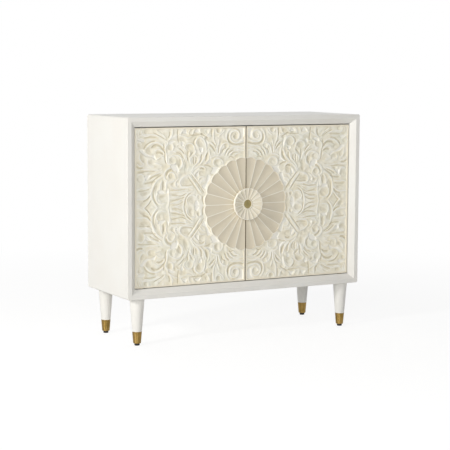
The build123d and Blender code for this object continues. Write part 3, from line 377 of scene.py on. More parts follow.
# The drawing of one quarter: x outward from the doors' meeting line, z away from the flower's
# middle. Ridges are the raised edges of scrolls, leaves and stems, each with its width.
RIDGES = [
    # scroll by the rosette and the arc over it
    (4.5, (90, 134), (90, 148), (97, 157), (109, 161), (121, 157), (127, 147), (125, 136), (117, 134)),
    (4.5, (104, 171), (118, 170), (132, 164), (142, 154), (152, 144), (164, 140)),
    # fan of leaves over the scroll
    (6, (87, 210), (95, 201), (101, 187), (104, 172)),
    (4, (103, 222), (108, 205), (110, 188), (110, 175)),
    (5, (123, 262), (125, 244), (125, 228), (120, 210), (113, 192), (112, 178)),
    (4, (116, 180), (123, 197), (134, 211), (147, 216)),
    (4, (119, 177), (130, 190), (141, 198)),
    # claws and long leaves along the rosette's top
    (4, (22, 178), (36, 174), (47, 164)),
    (4, (38, 186), (52, 180), (62, 167)),
    (4, (54, 192), (66, 184), (74, 169)),
    (4, (66, 198), (77, 188), (83, 172)),
    (4.5, (5, 196), (26, 198), (48, 198), (62, 194)),
    (3.5, (6, 184), (20, 187), (34, 190)),
    (4, (2, 206), (18, 205), (34, 203)),
    (3.5, (66, 204), (72, 211), (82, 211), (88, 203), (84, 192)),
    # bold spiral by the meeting line
    (6, (8, 223), (24, 215), (42, 212), (57, 220), (62, 235), (56, 249), (42, 254), (29, 247),
     (26, 234), (34, 224), (46, 225), (51, 235), (44, 242)),
    (4.5, (62, 260), (72, 248), (76, 230), (70, 213)),
    # leaves over the fan, along the top
    (5, (84, 257), (92, 246), (104, 236)),
    (4, (93, 262), (96, 251), (106, 244), (116, 250), (118, 262)),
    (4, (138, 262), (143, 248), (150, 238)),
    (4, (134, 236), (148, 236), (160, 232), (162, 222)),
    (4, (176, 262), (180, 250), (172, 238)),
    (3.5, (196, 262), (204, 252), (206, 242)),
    (4, (206, 240), (222, 232), (240, 238), (256, 241)),
    (3.5, (214, 262), (222, 252), (220, 244)),
    (3.5, (240, 262), (248, 252), (252, 243)),
    # ring over the bud
    (6, (155, 190), (157, 208), (164, 224), (177, 232), (190, 225), (195, 212), (188, 201)),
    # bud of three leaves
    (4, (145, 192), (141, 176), (141, 162), (148, 150), (160, 142)),
    (6, (152, 186), (157, 172), (164, 157), (178, 141)),
    (4, (168, 190), (176, 174), (178, 158), (183, 146)),
    # bulb on the branch, and the branch to the bar
    (5, (182, 170), (182, 154), (190, 143), (201, 133), (208, 121), (214, 112)),
    (3.5, (186, 167), (196, 172), (207, 168), (213, 156), (211, 142)),
    (2.5, (197, 165), (196, 154), (199, 144)),
    (2.5, (205, 164), (205, 152), (206, 142)),
    (4, (200, 176), (196, 184), (199, 193)),
    # ring and leaves over the bar's tip
    (4.5, (200, 190), (203, 205), (216, 214), (231, 210), (238, 198), (230, 188)),
    (4.5, (216, 150), (214, 166), (218, 184)),
    (4.5, (224, 148), (229, 165), (239, 182)),
    (4, (240, 206), (250, 214), (262, 212), (268, 203)),
    # arc over the small scroll, its own rim, and the claws under it
    (4.5, (157, 121), (164, 132), (181, 135), (199, 125), (210, 109)),
    (4.5, (183, 121), (193, 114), (199, 104), (194, 91)),
    (4, (160, 98), (175, 97), (184, 86)),
    (3.5, (156, 86), (169, 84), (177, 74)),
    # bar
    (5, (172, 42), (195, 73), (219, 105)),
    (3.5, (184, 82), (199, 100), (213, 117)),
    # leaf at the bar's foot
    (4.5, (219, 106), (235, 102), (249, 93), (255, 81), (249, 69), (236, 66), (205, 68)),
    # small leaves above the acanthus
    (3.5, (258, 96), (266, 90), (272, 80), (270, 70)),
    (3.5, (262, 70), (272, 64), (284, 66), (292, 74)),
    (3.5, (274, 92), (284, 84), (292, 84)),
    # acanthus
    (3.5, (206, 60), (232, 64), (256, 60), (286, 62)),
    (4, (222, 57), (243, 55), (262, 51), (290, 50)),
    (4.5, (226, 50), (245, 40), (265, 33), (292, 30)),
    (4.5, (232, 39), (246, 26), (264, 16), (292, 12)),
    (4, (239, 22), (251, 9), (268, 1), (286, -2)),
    (4, (206, 52), (224, 44), (235, 28), (241, 6), (242, -6)),
    # ring by the rosette
    (4.5, (194, 32), (206, 38), (221, 34), (229, 21), (224, 8)),
    (3.5, (174, 22), (176, 34), (186, 38), (191, 28)),
    # big round and the bands about it
    (4.5, (322, 52), (335, 47), (342, 34), (338, 19), (322, 12), (308, 14)),
    (4.5, (297, 62), (293, 42), (295, 18), (300, -2)),
    (5, (318, 104), (338, 92), (352, 74), (360, 50), (357, 28), (345, 8), (334, -4)),
    (4.5, (321, 90), (328, 76), (329, 57)),
    (4, (299, 93), (306, 79), (305, 58)),
    # lower scroll
    (5, (259, 126), (272, 134), (289, 133), (305, 125), (313, 111), (311, 97), (300, 88)),
    (4.5, (270, 93), (273, 107), (283, 117), (295, 113), (300, 103), (295, 94)),
    # kidney scroll and its outer leaves
    (5.5, (284, 172), (266, 174), (252, 168), (244, 153), (246, 136), (259, 125)),
    (4, (268, 163), (280, 170), (293, 165), (296, 152), (288, 143), (274, 144), (268, 153)),
    (4, (237, 150), (244, 168), (260, 181), (280, 188)),
    (3.5, (231, 152), (236, 170), (248, 184), (262, 194)),
    # wavy stem and the round beside it
    (5.5, (298, 224), (299, 213), (307, 203), (309, 191), (304, 177), (302, 162), (302, 150), (291, 142),
     (278, 140)),
    (4, (282, 214), (279, 201), (284, 189), (294, 187)),
    # leaves of the upper right
    (5, (284, 262), (282, 246), (287, 234), (298, 223)),
    (4.5, (256, 244), (272, 238), (293, 226)),
    (5, (303, 222), (321, 234), (346, 242), (376, 245), (400, 243)),
    (4, (306, 232), (322, 246), (343, 258)),
    (4, (364, 244), (378, 239), (392, 245), (397, 258)),
    (3.5, (402, 262), (407, 250), (404, 240)),
    (3.5, (412, 262), (416, 248), (412, 236)),
    (3, (338, 228), (358, 229), (378, 228)),
    # corner circle
    (5.5, (308, 184), (316, 204), (333, 216), (352, 217), (370, 210), (384, 197)),
    (4, (309, 177), (322, 190), (338, 195), (350, 189)),
    (4, (312, 164), (323, 170), (334, 166), (344, 159)),
    (4, (404, 180), (404, 166), (396, 153), (386, 147)),
    (4, (398, 218), (408, 222), (416, 212), (412, 200)),
    (3.5, (374, 162), (376, 150), (368, 141), (350, 138)),
    # fan of the outer edge
    (3.5, (322, 128), (355, 127), (390, 129), (416, 127)),
    (3.5, (322, 141), (340, 149), (350, 151)),
    (4, (388, 144), (400, 139), (414, 149)),
    (4.5, (322, 121), (345, 113), (368, 102), (386, 89)),
    (6, (409, 112), (396, 114), (387, 105), (385, 94), (392, 84)),
    # branches of the outer middle
    (5.5, (364, 70), (384, 68), (400, 68), (416, 62)),
    (6, (361, 50), (371, 40), (386, 32), (416, 29)),
    (5, (360, 36), (368, 22), (381, 8), (396, -4)),
]

# Cuts beside the ridges, each with its width.
GROOVES = [
    (4, (105, 206), (107, 190), (107, 176)),
    (4, (117, 196), (121, 206), (132, 216)),
    (6, (120, 186), (128, 197), (140, 206)),
    (4, (131, 262), (132, 248), (130, 232)),
    (4, (45, 160), (56, 164), (64, 160)),
    (4, (30, 180), (44, 178), (55, 168)),
    (4, (47, 187), (60, 180), (68, 167)),
    (4, (62, 193), (72, 184), (79, 168)),
    (4, (76, 194), (88, 188), (92, 176)),
    (7, (4, 211), (28, 206), (54, 209), (68, 222), (68, 240)),
    (5, (151, 178), (150, 166), (157, 152)),
    (5, (172, 176), (172, 160), (178, 148)),
    (5, (136, 132), (148, 137), (162, 139)),
    (6, (160, 124), (170, 128), (180, 126)),
    (4.5, (161, 44), (184, 75), (209, 106)),
    (3.5, (183, 46), (205, 76), (222, 98)),
    (4, (206, 73), (226, 72), (246, 74)),
    (4, (233, 60), (256, 56), (288, 56)),
    (4.5, (230, 45), (250, 36), (284, 41)),
    (4.5, (235, 34), (252, 25), (286, 20)),
    (4, (241, 18), (256, 8), (282, 6)),
    (4, (212, 46), (225, 36), (233, 18), (235, 2)),
    (4.5, (166, 34), (167, 20), (163, 4)),
    (6, (316, 88), (317, 73), (316, 58)),
    (5, (346, 72), (351, 50), (348, 24), (336, 8)),
    (4, (322, 111), (345, 96), (360, 78)),
    (7, (284, 127), (298, 119), (304, 106)),
    (5, (252, 160), (251, 146), (258, 134)),
    (4, (240, 162), (250, 176), (268, 184)),
    (4, (236, 176), (246, 188), (258, 198)),
    (5, (312, 216), (314, 200), (309, 180), (309, 160), (305, 146)),
    (5, (345, 223), (366, 219), (381, 209), (389, 196)),
    (7, (314, 191), (328, 205), (347, 209), (360, 202)),
    (7, (316, 178), (328, 184), (342, 183)),
    (5, (262, 262), (261, 238), (258, 216)),
    (4, (164, 243), (190, 241), (214, 241)),
    (5, (292, 254), (291, 244), (295, 234)),
    (4, (310, 228), (330, 240), (352, 250)),
    (4, (340, 234), (362, 236), (386, 235)),
    (4, (345, 123), (378, 122), (410, 119)),
    (7, (392, 134), (404, 134), (415, 140)),
    (4, (330, 112), (350, 104), (366, 94)),
    (5, (345, 88), (364, 84), (386, 82)),
    (6, (363, 42), (374, 30), (390, 23)),
    (4, (366, 62), (384, 60), (408, 58)),
    (5, (362, 26), (370, 13), (382, 0)),
    (4, (203, 184), (210, 176), (217, 166)),
    (3, (191, 166), (190, 154), (194, 146)),
    (3, (201, 167), (200, 154), (203, 143)),
    (4, (145, 229), (160, 238), (172, 246)),
    (4, (190, 232), (200, 222), (202, 210)),
    (4, (222, 186), (224, 170), (221, 154)),
]

# Hollowed rounds and leaf bodies: place of the middle, half length, half width, turn in degrees.
DISHES = [
    (110, 145, 13, 12, 0), (135, 152, 10, 6, 60), (76, 201, 8, 8, 0), (42, 234, 13, 13, 0),
    (106, 254, 9, 9, 0), (128, 192, 12, 5, 50), (150, 168, 16, 6, 110), (176, 210, 13, 13, 0),
    (170, 112, 13, 13, 0), (192, 103, 9, 5, 120), (198, 154, 14, 11, 95), (217, 200, 13, 12, 0),
    (233, 84, 18, 12, 0), (209, 19, 12, 12, 0), (182, 29, 7, 7, 0), (181, 62, 10, 4, 54),
    (318, 29, 16, 15, 0), (287, 104, 10, 10, 0), (281, 157, 10, 9, 0), (291, 200, 11, 11, 0),
    (256, 148, 13, 7, 95), (370, 190, 13, 13, 0), (360, 154, 14, 11, 20), (392, 164, 13, 8, 60),
    (380, 254, 9, 9, 0), (402, 98, 13, 13, 0), (404, 210, 7, 7, 0), (388, 50, 17, 9, 0),
    (392, 14, 15, 8, -20), (342, 60, 18, 7, 100), (350, 206, 12, 5, -10), (330, 130, 8, 4, 0),
    (280, 78, 8, 6, 0), (312, 74, 12, 4, 90), (230, 130, 26, 9, 100), (245, 226, 18, 8, 0),
    (328, 252, 14, 5, 30), (150, 226, 8, 6, 0), (250, 106, 14, 8, -30), (150, 250, 9, 6, 60),
    (190, 250, 12, 7, 0), (230, 252, 12, 7, 0), (362, 116, 16, 5, -20), (268, 206, 10, 7, 0),
]

# Flat ground between the motifs, as outlines.
GROUNDS = [
    ((8, 263), (8, 236), (20, 226), (22, 246), (34, 259), (60, 264)),
    ((102, 128), (112, 118), (118, 106), (136, 108), (130, 124), (134, 128), (118, 130)),
    ((134, 98), (146, 78), (160, 56), (170, 68), (156, 76), (150, 92), (146, 104)),
    ((137, 184), (135, 160), (136, 146), (153, 144), (143, 154), (138, 168)),
    ((148, 214), (150, 194), (153, 206), (156, 226)),
    ((168, 196), (172, 182), (180, 190), (178, 197)),
    ((180, 2), (196, 0), (196, 12), (188, 18)),
    ((182, 118), (190, 110), (192, 100), (184, 100)),
    ((306, 46), (320, 56), (336, 54), (330, 46), (318, 45)),
    ((258, 120), (266, 114), (268, 122), (280, 122), (290, 140), (270, 142), (262, 132)),
    ((350, 178), (345, 162), (362, 171), (378, 172), (392, 180), (404, 192), (392, 196), (384, 186),
     (366, 176)),
    ((362, 110), (382, 106), (382, 94), (372, 98)),
    ((270, 220), (294, 210), (294, 220), (282, 224)),
    ((238, 214), (246, 204), (250, 210), (246, 220)),
    ((174, 247), (198, 250), (186, 260)),
    ((226, 246), (246, 248), (234, 260)),
    ((384, 228), (396, 232), (412, 228), (400, 222), (388, 220)),
    ((296, 50), (304, 46), (300, 62)),
    ((260, 74), (268, 72), (266, 82)),
]


def ease(t):
    """Smooth step from 0 to 1."""
    t = np.clip(t, 0, 1)
    return t * t * (3 - 2 * t)


def profile(distance, reach, slope):
    """1 on a stroke's middle line, and 0 from its reach outwards."""
    return ease(slope * (1 - distance / reach))


def smooth_line(points):
    """Points about LINE_STEP apart on the smooth curve through the given ones."""
    p = np.array(points, float)
    p = np.vstack([2 * p[0] - p[1], p, 2 * p[-1] - p[-2]])
    stretches = []
    for a, b, c, d in zip(p, p[1:], p[2:], p[3:]):
        count = int(np.hypot(*(c - b)) / LINE_STEP) + 2
        t = np.linspace(0, 1, count, endpoint=False)[:, None]
        cubic = 2 * b + (c - a) * t + (2 * a - 5 * b + 4 * c - d) * t**2 + (3 * b - a - 3 * c + d) * t**3
        stretches.append(cubic / 2)
    return np.vstack(stretches + [p[-2:-1]])


def nearest_on(x, z, start, end):
    """How far along a straight run from start to end the points lie, and how far off it."""
    run = max(math.hypot(*(end - start)), SHORTEST_RUN)
    way = (end - start) / run
    along = np.clip((x - start[0]) * way[0] + (z - start[1]) * way[1], 0, run)
    return along, np.hypot(x - start[0] - along * way[0], z - start[1] - along * way[1])


class Quarter:
    """One quarter of the carving, as a height and a colour value at each point of a grid: the
    whitewash, with painted highlight on the ridges and painted shade in the cuts and hollows. The
    drawing is the same in all four quarters, and the hand that cut it strays a little in each."""

    def __init__(self, xs, zs, seed):
        self.xs, self.zs = xs, zs
        self.x, self.z = np.meshgrid(xs, zs)
        self.chance = np.random.default_rng(seed)
        calm = ease(self.z / STRAY_FADE)
        for _ in range(STRAY_COUNT):
            way, sway = self.random_wave(STRAY_WAVES)
            amount = self.chance.uniform(*STRAY_REACH) * calm
            self.x = self.x + sway * amount * math.sin(way)
            self.z = self.z - sway * amount * math.cos(way)
        swells = [self.random_wave(SWELL_WAVES)[1] for _ in range(SWELL_COUNT)]
        swell = SWELL * sum(swells)
        self.height = BODY_FLOOR + swell
        # Painted light: the colour is painted lighter where the swell rises and darker where it sinks.
        self.wash_and_painted_light = WASH_BODY + SWELL_PAINTED_LIGHT * swell

    def random_wave(self, lengths):
        """A wave of random length, direction and phase over the grid, and its direction."""
        length = self.chance.uniform(*lengths)
        way = self.chance.uniform(0, math.tau)
        phase = self.chance.uniform(0, math.tau)
        return way, np.sin((self.x * math.cos(way) + self.z * math.sin(way)) / length * math.tau + phase)

    def window(self, line, reach):
        """Rows and columns of the grid that lie within reach of a line's points."""
        low = np.min(line, 0) - reach - WINDOW_MARGIN
        high = np.max(line, 0) + reach + WINDOW_MARGIN
        columns = slice(*np.searchsorted(self.xs, (low[0], high[0])))
        rows = slice(*np.searchsorted(self.zs, (low[1], high[1])))
        return rows, columns

    def follow(self, points, width):
        """Where the grid lies near a line, its distance from the line, and the line's half
        width there, which tapers at both ends."""
        line = smooth_line(points)
        place = self.window(line, FLANK_RUN + width)
        x, z = self.x[place], self.z[place]
        distance, share = np.full(x.shape, np.inf), np.zeros(x.shape)
        runs = np.hypot(*np.diff(line, axis=0).T)
        gone = 0.0
        for start, end, run in zip(line, line[1:], runs):
            along, gap = nearest_on(x, z, start, end)
            nearer = gap < distance
            distance = np.where(nearer, gap, distance)
            share = np.where(nearer, (gone + along) / runs.sum(), share)
            gone += run
        taper = ease(np.minimum(share, 1 - share) / TAPER_SHARE)
        return place, distance, width / 2 * (TIP_SHARE + (1 - TIP_SHARE) * taper)

    def ridge(self, width, points):
        """A raised edge: a round top, and a hollow flank on each side that the gouge left."""
        place, distance, half = self.follow(points, width)
        crown = profile(distance, CROWN_REACH * half, CROWN_SLOPE)
        flank = np.clip(1 - (distance - half) / FLANK_RUN, 0, 1) ** 2
        raised = BODY_FLOOR + (RIDGE_TOP - BODY_FLOOR) * np.maximum(crown, FLANK_SHARE * flank)
        self.height[place] = np.maximum(self.height[place], raised)
        # The crown is painted white: whitewash and painted highlight.
        self.wash_and_painted_light[place] += (RIDGE_WASH_AND_HIGHLIGHT - self.wash_and_painted_light[place]) * crown

    def groove(self, width, points):
        """A round cut."""
        place, distance, half = self.follow(points, width)
        cut = profile(distance, CUT_REACH * half, CUT_SLOPE)
        self.height[place] -= GROOVE_DROP * cut
        # The cut is painted dark: painted shade.
        self.wash_and_painted_light[place] += (GROOVE_PAINTED_SHADE - self.wash_and_painted_light[place]) * cut

    def dish(self, x, z, half_length, half_width, turn):
        """A shallow oval hollow."""
        place = self.window(np.array([[x, z]]), half_length)
        along, across = self.x[place] - x, self.z[place] - z
        c, s = math.cos(math.radians(turn)), math.sin(math.radians(turn))
        out = np.hypot((along * c + across * s) / half_length, (across * c - along * s) / half_width)
        self.height[place] -= DISH_DROP * profile(out, 1.0, DISH_SLOPE)
        # The hollow is painted darker, a little beyond its edge: painted shade.
        self.wash_and_painted_light[place] += DISH_PAINTED_SHADE * profile(out, DISH_SHADE_REACH, DISH_SHADE_SLOPE)

    def ground(self, outline):
        """A flat sunk place inside an outline."""
        corners = smooth_line(outline + outline[:1])
        place = self.window(corners, GROUND_EDGE)
        x, z = self.x[place], self.z[place]
        inside, distance = np.zeros(x.shape, bool), np.full(x.shape, np.inf)
        for start, end in zip(corners, np.roll(corners, -1, 0)):
            distance = np.minimum(distance, nearest_on(x, z, start, end)[1])
            crosses = (start[1] > z) != (end[1] > z)
            rise = end[1] - start[1] or 1.0
            inside ^= crosses & (x < start[0] + (z - start[1]) * (end[0] - start[0]) / rise)
        sunk = ease(0.5 + np.where(inside, distance, -distance) / GROUND_EDGE)
        self.height[place] += (GROUND - self.height[place]) * sunk
        self.wash_and_painted_light[place] += (WASH_GROUND - self.wash_and_painted_light[place]) * sunk


def carve(quarter):
    """The drawing of one quarter: its raised edges, then the cuts, hollows and grounds between."""
    for width, *points in RIDGES:
        quarter.ridge(width, points)
    for dish in DISHES:
        quarter.dish(*dish)
    for width, *points in GROOVES:
        quarter.groove(width, points)
    for outline in GROUNDS:
        quarter.ground(outline)


def door_relief(side, seed):
    """One door's carving over a grid: the places across and upwards, the height, and the colour
    value of whitewash, painted highlight and painted shade. These come from the lower quarter
    turned over and from the upper one."""
    low, high = door_boxes[side]
    near, far = sorted(abs(x) / MM for x in (low.x, high.x))
    near, far = near + DOOR_BORDER, far - DOOR_BORDER
    xs = np.linspace(near, far, int((far - near) / GRID_PITCH))
    quarters = []
    for part, edge in enumerate((FLOWER_Z - low.z, high.z - FLOWER_Z)):
        reach = edge / MM - DOOR_BORDER
        quarters.append(Quarter(xs, np.linspace(0, reach, int(reach / GRID_PITCH)), seed + part))
        carve(quarters[part])
    down, up = quarters
    x, z = np.meshgrid(xs, np.concatenate([-down.zs[:0:-1], up.zs]))
    return x, z, np.vstack([down.height[:0:-1], up.height]), np.vstack([down.wash_and_painted_light[:0:-1], up.wash_and_painted_light])


def shown_cells(hidden):
    """The grid's cells as quads, apart from those with all four corners hidden. Returns the
    numbers of the grid's points in use, and the quads in terms of these."""
    all_hidden = hidden[:-1, :-1] & hidden[1:, :-1] & hidden[:-1, 1:] & hidden[1:, 1:]
    rows, columns = np.nonzero(~all_hidden)
    width = hidden.shape[1]
    first = rows * width + columns
    quads = np.stack([first, first + 1, first + width + 1, first + width], 1)
    used, quads = np.unique(quads, return_inverse=True)
    return used, quads.reshape(-1, 4)


def open_edge(quads):
    """The points round the open edge of a sheet of quads, in order."""
    sides = np.concatenate([quads[:, [i, (i + 1) % 4]] for i in range(4)])
    index, counts = np.unique(np.sort(sides, 1), axis=0, return_index=True, return_counts=True)[1:]
    follower = dict(map(tuple, sides[index[counts == 1]]))
    loop = [next(iter(follower))]
    while follower[loop[-1]] != loop[0]:
        loop.append(follower[loop[-1]])
    return loop


def shade_smooth(mesh):
    """Turn a closed mesh's faces outwards, and shade its relief smooth up to its sharp border."""
    shaped = bmesh.new()
    shaped.from_mesh(mesh)
    bmesh.ops.recalc_face_normals(shaped, faces=shaped.faces)
    for face in shaped.faces:
        face.smooth = len(face.verts) == 4 and face.normal.y < STEEPEST_RELIEF
    for edge in shaped.edges:
        edge.smooth = all(face.smooth for face in edge.link_faces)
    shaped.to_mesh(mesh)
    shaped.free()


def carved_panel(side, seed):
    """Closed solid of one door's carved panel: its relief in front, its back in the door's seat."""
    outward = -1 if side == "left" else 1
    x, z, height, wash_and_painted_light = door_relief(side, seed)
    under_rosette = ROSETTE_RADIUS - ROSETTE_SCALLOP_DEPTH - UNDER_ROSETTE
    used, quads = shown_cells(np.hypot(x, z) < under_rosette)
    loop = open_edge(quads)
    front = np.stack([outward * x.ravel()[used], -height.ravel()[used], z.ravel()[used]], 1)
    back = front[loop]
    back[:, 1] = (SEAT_Y - FACE_Y) / MM
    base = list(range(len(front), len(front) + len(loop)))
    walls = [(b, a, c, d) for a, b, c, d in zip(loop, loop[1:] + loop[:1], base, base[1:] + base[:1])]
    faces = [tuple(quad) for quad in quads.tolist()] + walls + [tuple(reversed(base))]
    points = np.vstack([front, back]) * MM + [0, FACE_Y, FLOWER_Z]
    mesh = bpy.data.meshes.new(f"{side}_door_carving")
    mesh.from_pydata(points.tolist(), [], faces)
    # Each point's colour value: whitewash, painted highlight on the ridges, and painted shade in the cuts and
    # hollows.
    layer = mesh.attributes.new("wash_and_painted_light", "FLOAT", "POINT")
    layer.data.foreach_set("value", np.append(wash_and_painted_light.ravel()[used], np.zeros(len(loop))).astype(np.float32))
    shade_smooth(mesh)
    return mesh


for side, seed in CARVING_SEEDS.items():
    piece = bpy.data.objects.new(f"{side}_door_carving", carved_panel(side, seed))
    bpy.context.scene.collection.objects.link(piece)
    piece.data.materials.append(carving_wood)
    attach(piece, f"{side}_door")
    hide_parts(f"{side}_carved_panel")

# --- screws: a head with a cross recess on each of the construction's plain screws ----------

SCREW_NODES = ["back_screws", "catch_screws"] + [
    f"{side}_{use}_screws" for side in SIDES for use in ("boss", "pivot", "strike")]
SCREW_SIZES = ("Head Radius", "Head Height", "Shank Radius", "Length")
SCREW_SIDES = 24
HEAD_TOP_SHARE = 0.82
POINT_SHARE = 0.25
RECESS_LENGTH_SHARE = 1.15
RECESS_WIDTH_SHARE = 0.24
RECESS_DEPTH_SHARE = 0.65
SCREW_TURN_SEED = 5
SAME_POINT_MM = 0.001
RIM_SHARE = 0.95  # corners this far out belong to the head's rim


def separate_solids(node):
    """The corners of each separate solid in a node of the frame, in metres. The solids keep an
    order that is the same in each run, because each screw's chance turn goes by its number."""
    merged = bmesh.new()
    merged.from_mesh(frame["nodes"][node].data)
    bmesh.ops.remove_doubles(merged, verts=merged.verts, dist=SAME_POINT_MM * MM)
    waiting = dict.fromkeys(merged.verts)
    solids = []
    while waiting:
        found = [waiting.popitem()[0]]
        for corner in found:
            for edge in corner.link_edges:
                near = edge.other_vert(corner)
                if near in waiting:
                    del waiting[near]
                    found.append(near)
        solids.append(np.array([corner.co for corner in found]))
    merged.free()
    return solids


def measure_screw(corners):
    """A screw's place at the middle of its head's face, the way its head looks, and its sizes."""
    low, high = corners.min(0), corners.max(0)
    along = int(np.argmax(high - low))
    middle = (low + high) / 2
    radii = np.hypot(*np.delete(corners - middle, along, 1).T)
    head_radius = radii.max()
    at_low, at_high = (radii[np.isclose(corners[:, along], end[along])].max() for end in (low, high))
    head_first = at_low > at_high
    place, way = middle.copy(), np.zeros(3)
    place[along] = (low if head_first else high)[along]
    way[along] = -1 if head_first else 1
    rim = corners[radii > RIM_SHARE * head_radius][:, along]
    sizes = (head_radius, rim.max() - rim.min(), min(at_low, at_high), high[along] - low[along])
    return place, way, dict(zip(SCREW_SIZES, sizes))


def screw_tree():
    """Screws on points: a tapered head with a cross recess and a pointed shank, each turned by
    chance about its own axis."""
    tree = bpy.data.node_groups.new("cross_recess_screws", "GeometryNodeTree")
    tree.interface.new_socket("Geometry", in_out="INPUT", socket_type="NodeSocketGeometry")
    for name in SCREW_SIZES:
        tree.interface.new_socket(name, in_out="INPUT", socket_type="NodeSocketFloat")
    tree.interface.new_socket("Geometry", in_out="OUTPUT", socket_type="NodeSocketGeometry")
    given = add_node(tree, "NodeGroupInput").outputs
    radius, head, shank, length = (given[name] for name in SCREW_SIZES)

    def moved(mesh, z):
        offset = add_node(tree, "ShaderNodeCombineXYZ", {"Z": z})
        return add_node(tree, "GeometryNodeTransform", {"Geometry": mesh, "Translation": offset})

    head_top, arm, slot_width, twice_deep, tip, to_head_base, to_point_base = (
        add_node(tree, "ShaderNodeMath", {0: size, 1: share}, operation="MULTIPLY")
        for size, share in ((radius, HEAD_TOP_SHARE), (radius, RECESS_LENGTH_SHARE),
                            (radius, RECESS_WIDTH_SHARE), (head, 2 * RECESS_DEPTH_SHARE),
                            (shank, POINT_SHARE), (head, -1.0), (length, -1.0)))
    shank_length = add_node(tree, "ShaderNodeMath", {0: length, 1: head}, operation="SUBTRACT")
    head_solid, point = (
        add_node(tree, "GeometryNodeMeshCone", {
            "Vertices": SCREW_SIDES, "Radius Bottom": bottom, "Radius Top": top, "Depth": depth})
        for bottom, top, depth in ((radius, head_top, head), (tip, shank, shank_length)))
    cut = add_node(tree, "GeometryNodeMeshBoolean", {"Mesh 1": head_solid},
                   operation="DIFFERENCE", solver="EXACT")
    for long_way, cross_way in (("X", "Y"), ("Y", "X")):
        size = add_node(tree, "ShaderNodeCombineXYZ", {long_way: arm, cross_way: slot_width, "Z": twice_deep})
        slot = moved(add_node(tree, "GeometryNodeMeshCube", {"Size": size}), head)
        tree.links.new(slot.outputs[0], cut.inputs["Mesh 2"])
    join = add_node(tree, "GeometryNodeJoinGeometry")
    for solid, depth in ((cut, to_head_base), (point, to_point_base)):
        tree.links.new(moved(solid, depth).outputs[0], join.inputs[0])
    way = add_node(tree, "GeometryNodeInputNamedAttribute", {"Name": "way"}, data_type="FLOAT_VECTOR")
    facing = add_node(tree, "FunctionNodeAlignRotationToVector", {"Vector": way}, axis="Z")
    placed = add_node(tree, "GeometryNodeInstanceOnPoints", {
        "Points": given["Geometry"], "Instance": join, "Rotation": facing})
    chance = add_node(tree, "FunctionNodeRandomValue", {
        "Min": (0, 0, 0), "Max": (0, 0, math.pi / 2), "Seed": SCREW_TURN_SEED}, data_type="FLOAT_VECTOR")
    tightened = add_node(tree, "GeometryNodeRotateInstances", {
        "Instances": placed, "Rotation": chance, "Local Space": True})
    real = add_node(tree, "GeometryNodeRealizeInstances", {"Geometry": tightened})
    finished = add_node(tree, "GeometryNodeSetMaterial", {
        "Geometry": real, "Material": finishes["zinc_steel"]})
    add_node(tree, "NodeGroupOutput", {"Geometry": finished})
    return tree


def make_screws(tree, node):
    """Finished screws in the places of a node's plain ones, as one plain mesh."""
    places, ways, sizes = zip(*(measure_screw(corners) for corners in separate_solids(node)))
    points = bpy.data.meshes.new(f"{node}_places")
    points.from_pydata([tuple(place) for place in places], [], [])
    points.attributes.new("way", "FLOAT_VECTOR", "POINT").data.foreach_set("vector", np.ravel(ways))
    holder = bpy.data.objects.new(f"{node}_places", points)
    bpy.context.scene.collection.objects.link(holder)
    modifier = holder.modifiers.new("screws", "NODES")
    modifier.node_group = tree
    for item in tree.interface.items_tree:
        if item.in_out == "INPUT" and item.name in SCREW_SIZES:
            modifier[item.identifier] = float(sizes[0][item.name])
    evaluated = holder.evaluated_get(bpy.context.evaluated_depsgraph_get())
    mesh = bpy.data.meshes.new_from_object(evaluated)
    holder.modifiers.remove(modifier)
    bpy.data.objects.remove(holder)
    mesh.name = f"cross_recess_{node}"
    piece = bpy.data.objects.new(f"cross_recess_{node}", mesh)
    bpy.context.scene.collection.objects.link(piece)
    return piece


screws = screw_tree()
for node in SCREW_NODES:
    piece = make_screws(screws, node)
    side = node.split("_")[0]
    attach(piece, f"{side}_door" if side in ("left", "right") else "cabinet")
    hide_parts(node)

# --- floor, light and camera ------------------------------------------------------------------

WHITE = (1, 1, 1, 1)
FLOOR_REACH = 14.0
FLOOR_FADE_START = 0.9
FLOOR_FADE_END = 2.4
FLOOR_GREY = 0.22
FLOOR_GLOW = 0.84

# The room is brighter to the left, where its windows are, overhead, and behind to the right.
ROOM_LEFT = 0.24
ROOM_RIGHT = 0.02
ROOM_ABOVE = 0.24
ROOM_BEHIND = 0.65

LIGHT_TARGET = (0.0, -0.15, 0.464)

CAMERA_PLACE = (-2.40207, -4.38581, 0.93173)
CAMERA_YAW = math.radians(28.695)
CAMERA_PITCH = math.radians(-6.352)
CAMERA_ROLL = math.radians(0.306)
IMAGE_SIDE = 450
FOCAL_PIXELS = 1415.73
SENSOR = 36.0
FARTHEST_SEEN = 100


def seen_directly(tree):
    """1 for rays of the camera and for reflections and refractions, 0 for diffuse light."""
    ray = add_node(tree, "ShaderNodeLightPath").outputs
    either = add_node(tree, "ShaderNodeMath", {0: ray["Is Camera Ray"], 1: ray["Is Glossy Ray"]},
                      operation="MAXIMUM")
    return add_node(tree, "ShaderNodeMath", {0: either, 1: ray["Is Transmission Ray"]}, operation="MAXIMUM")


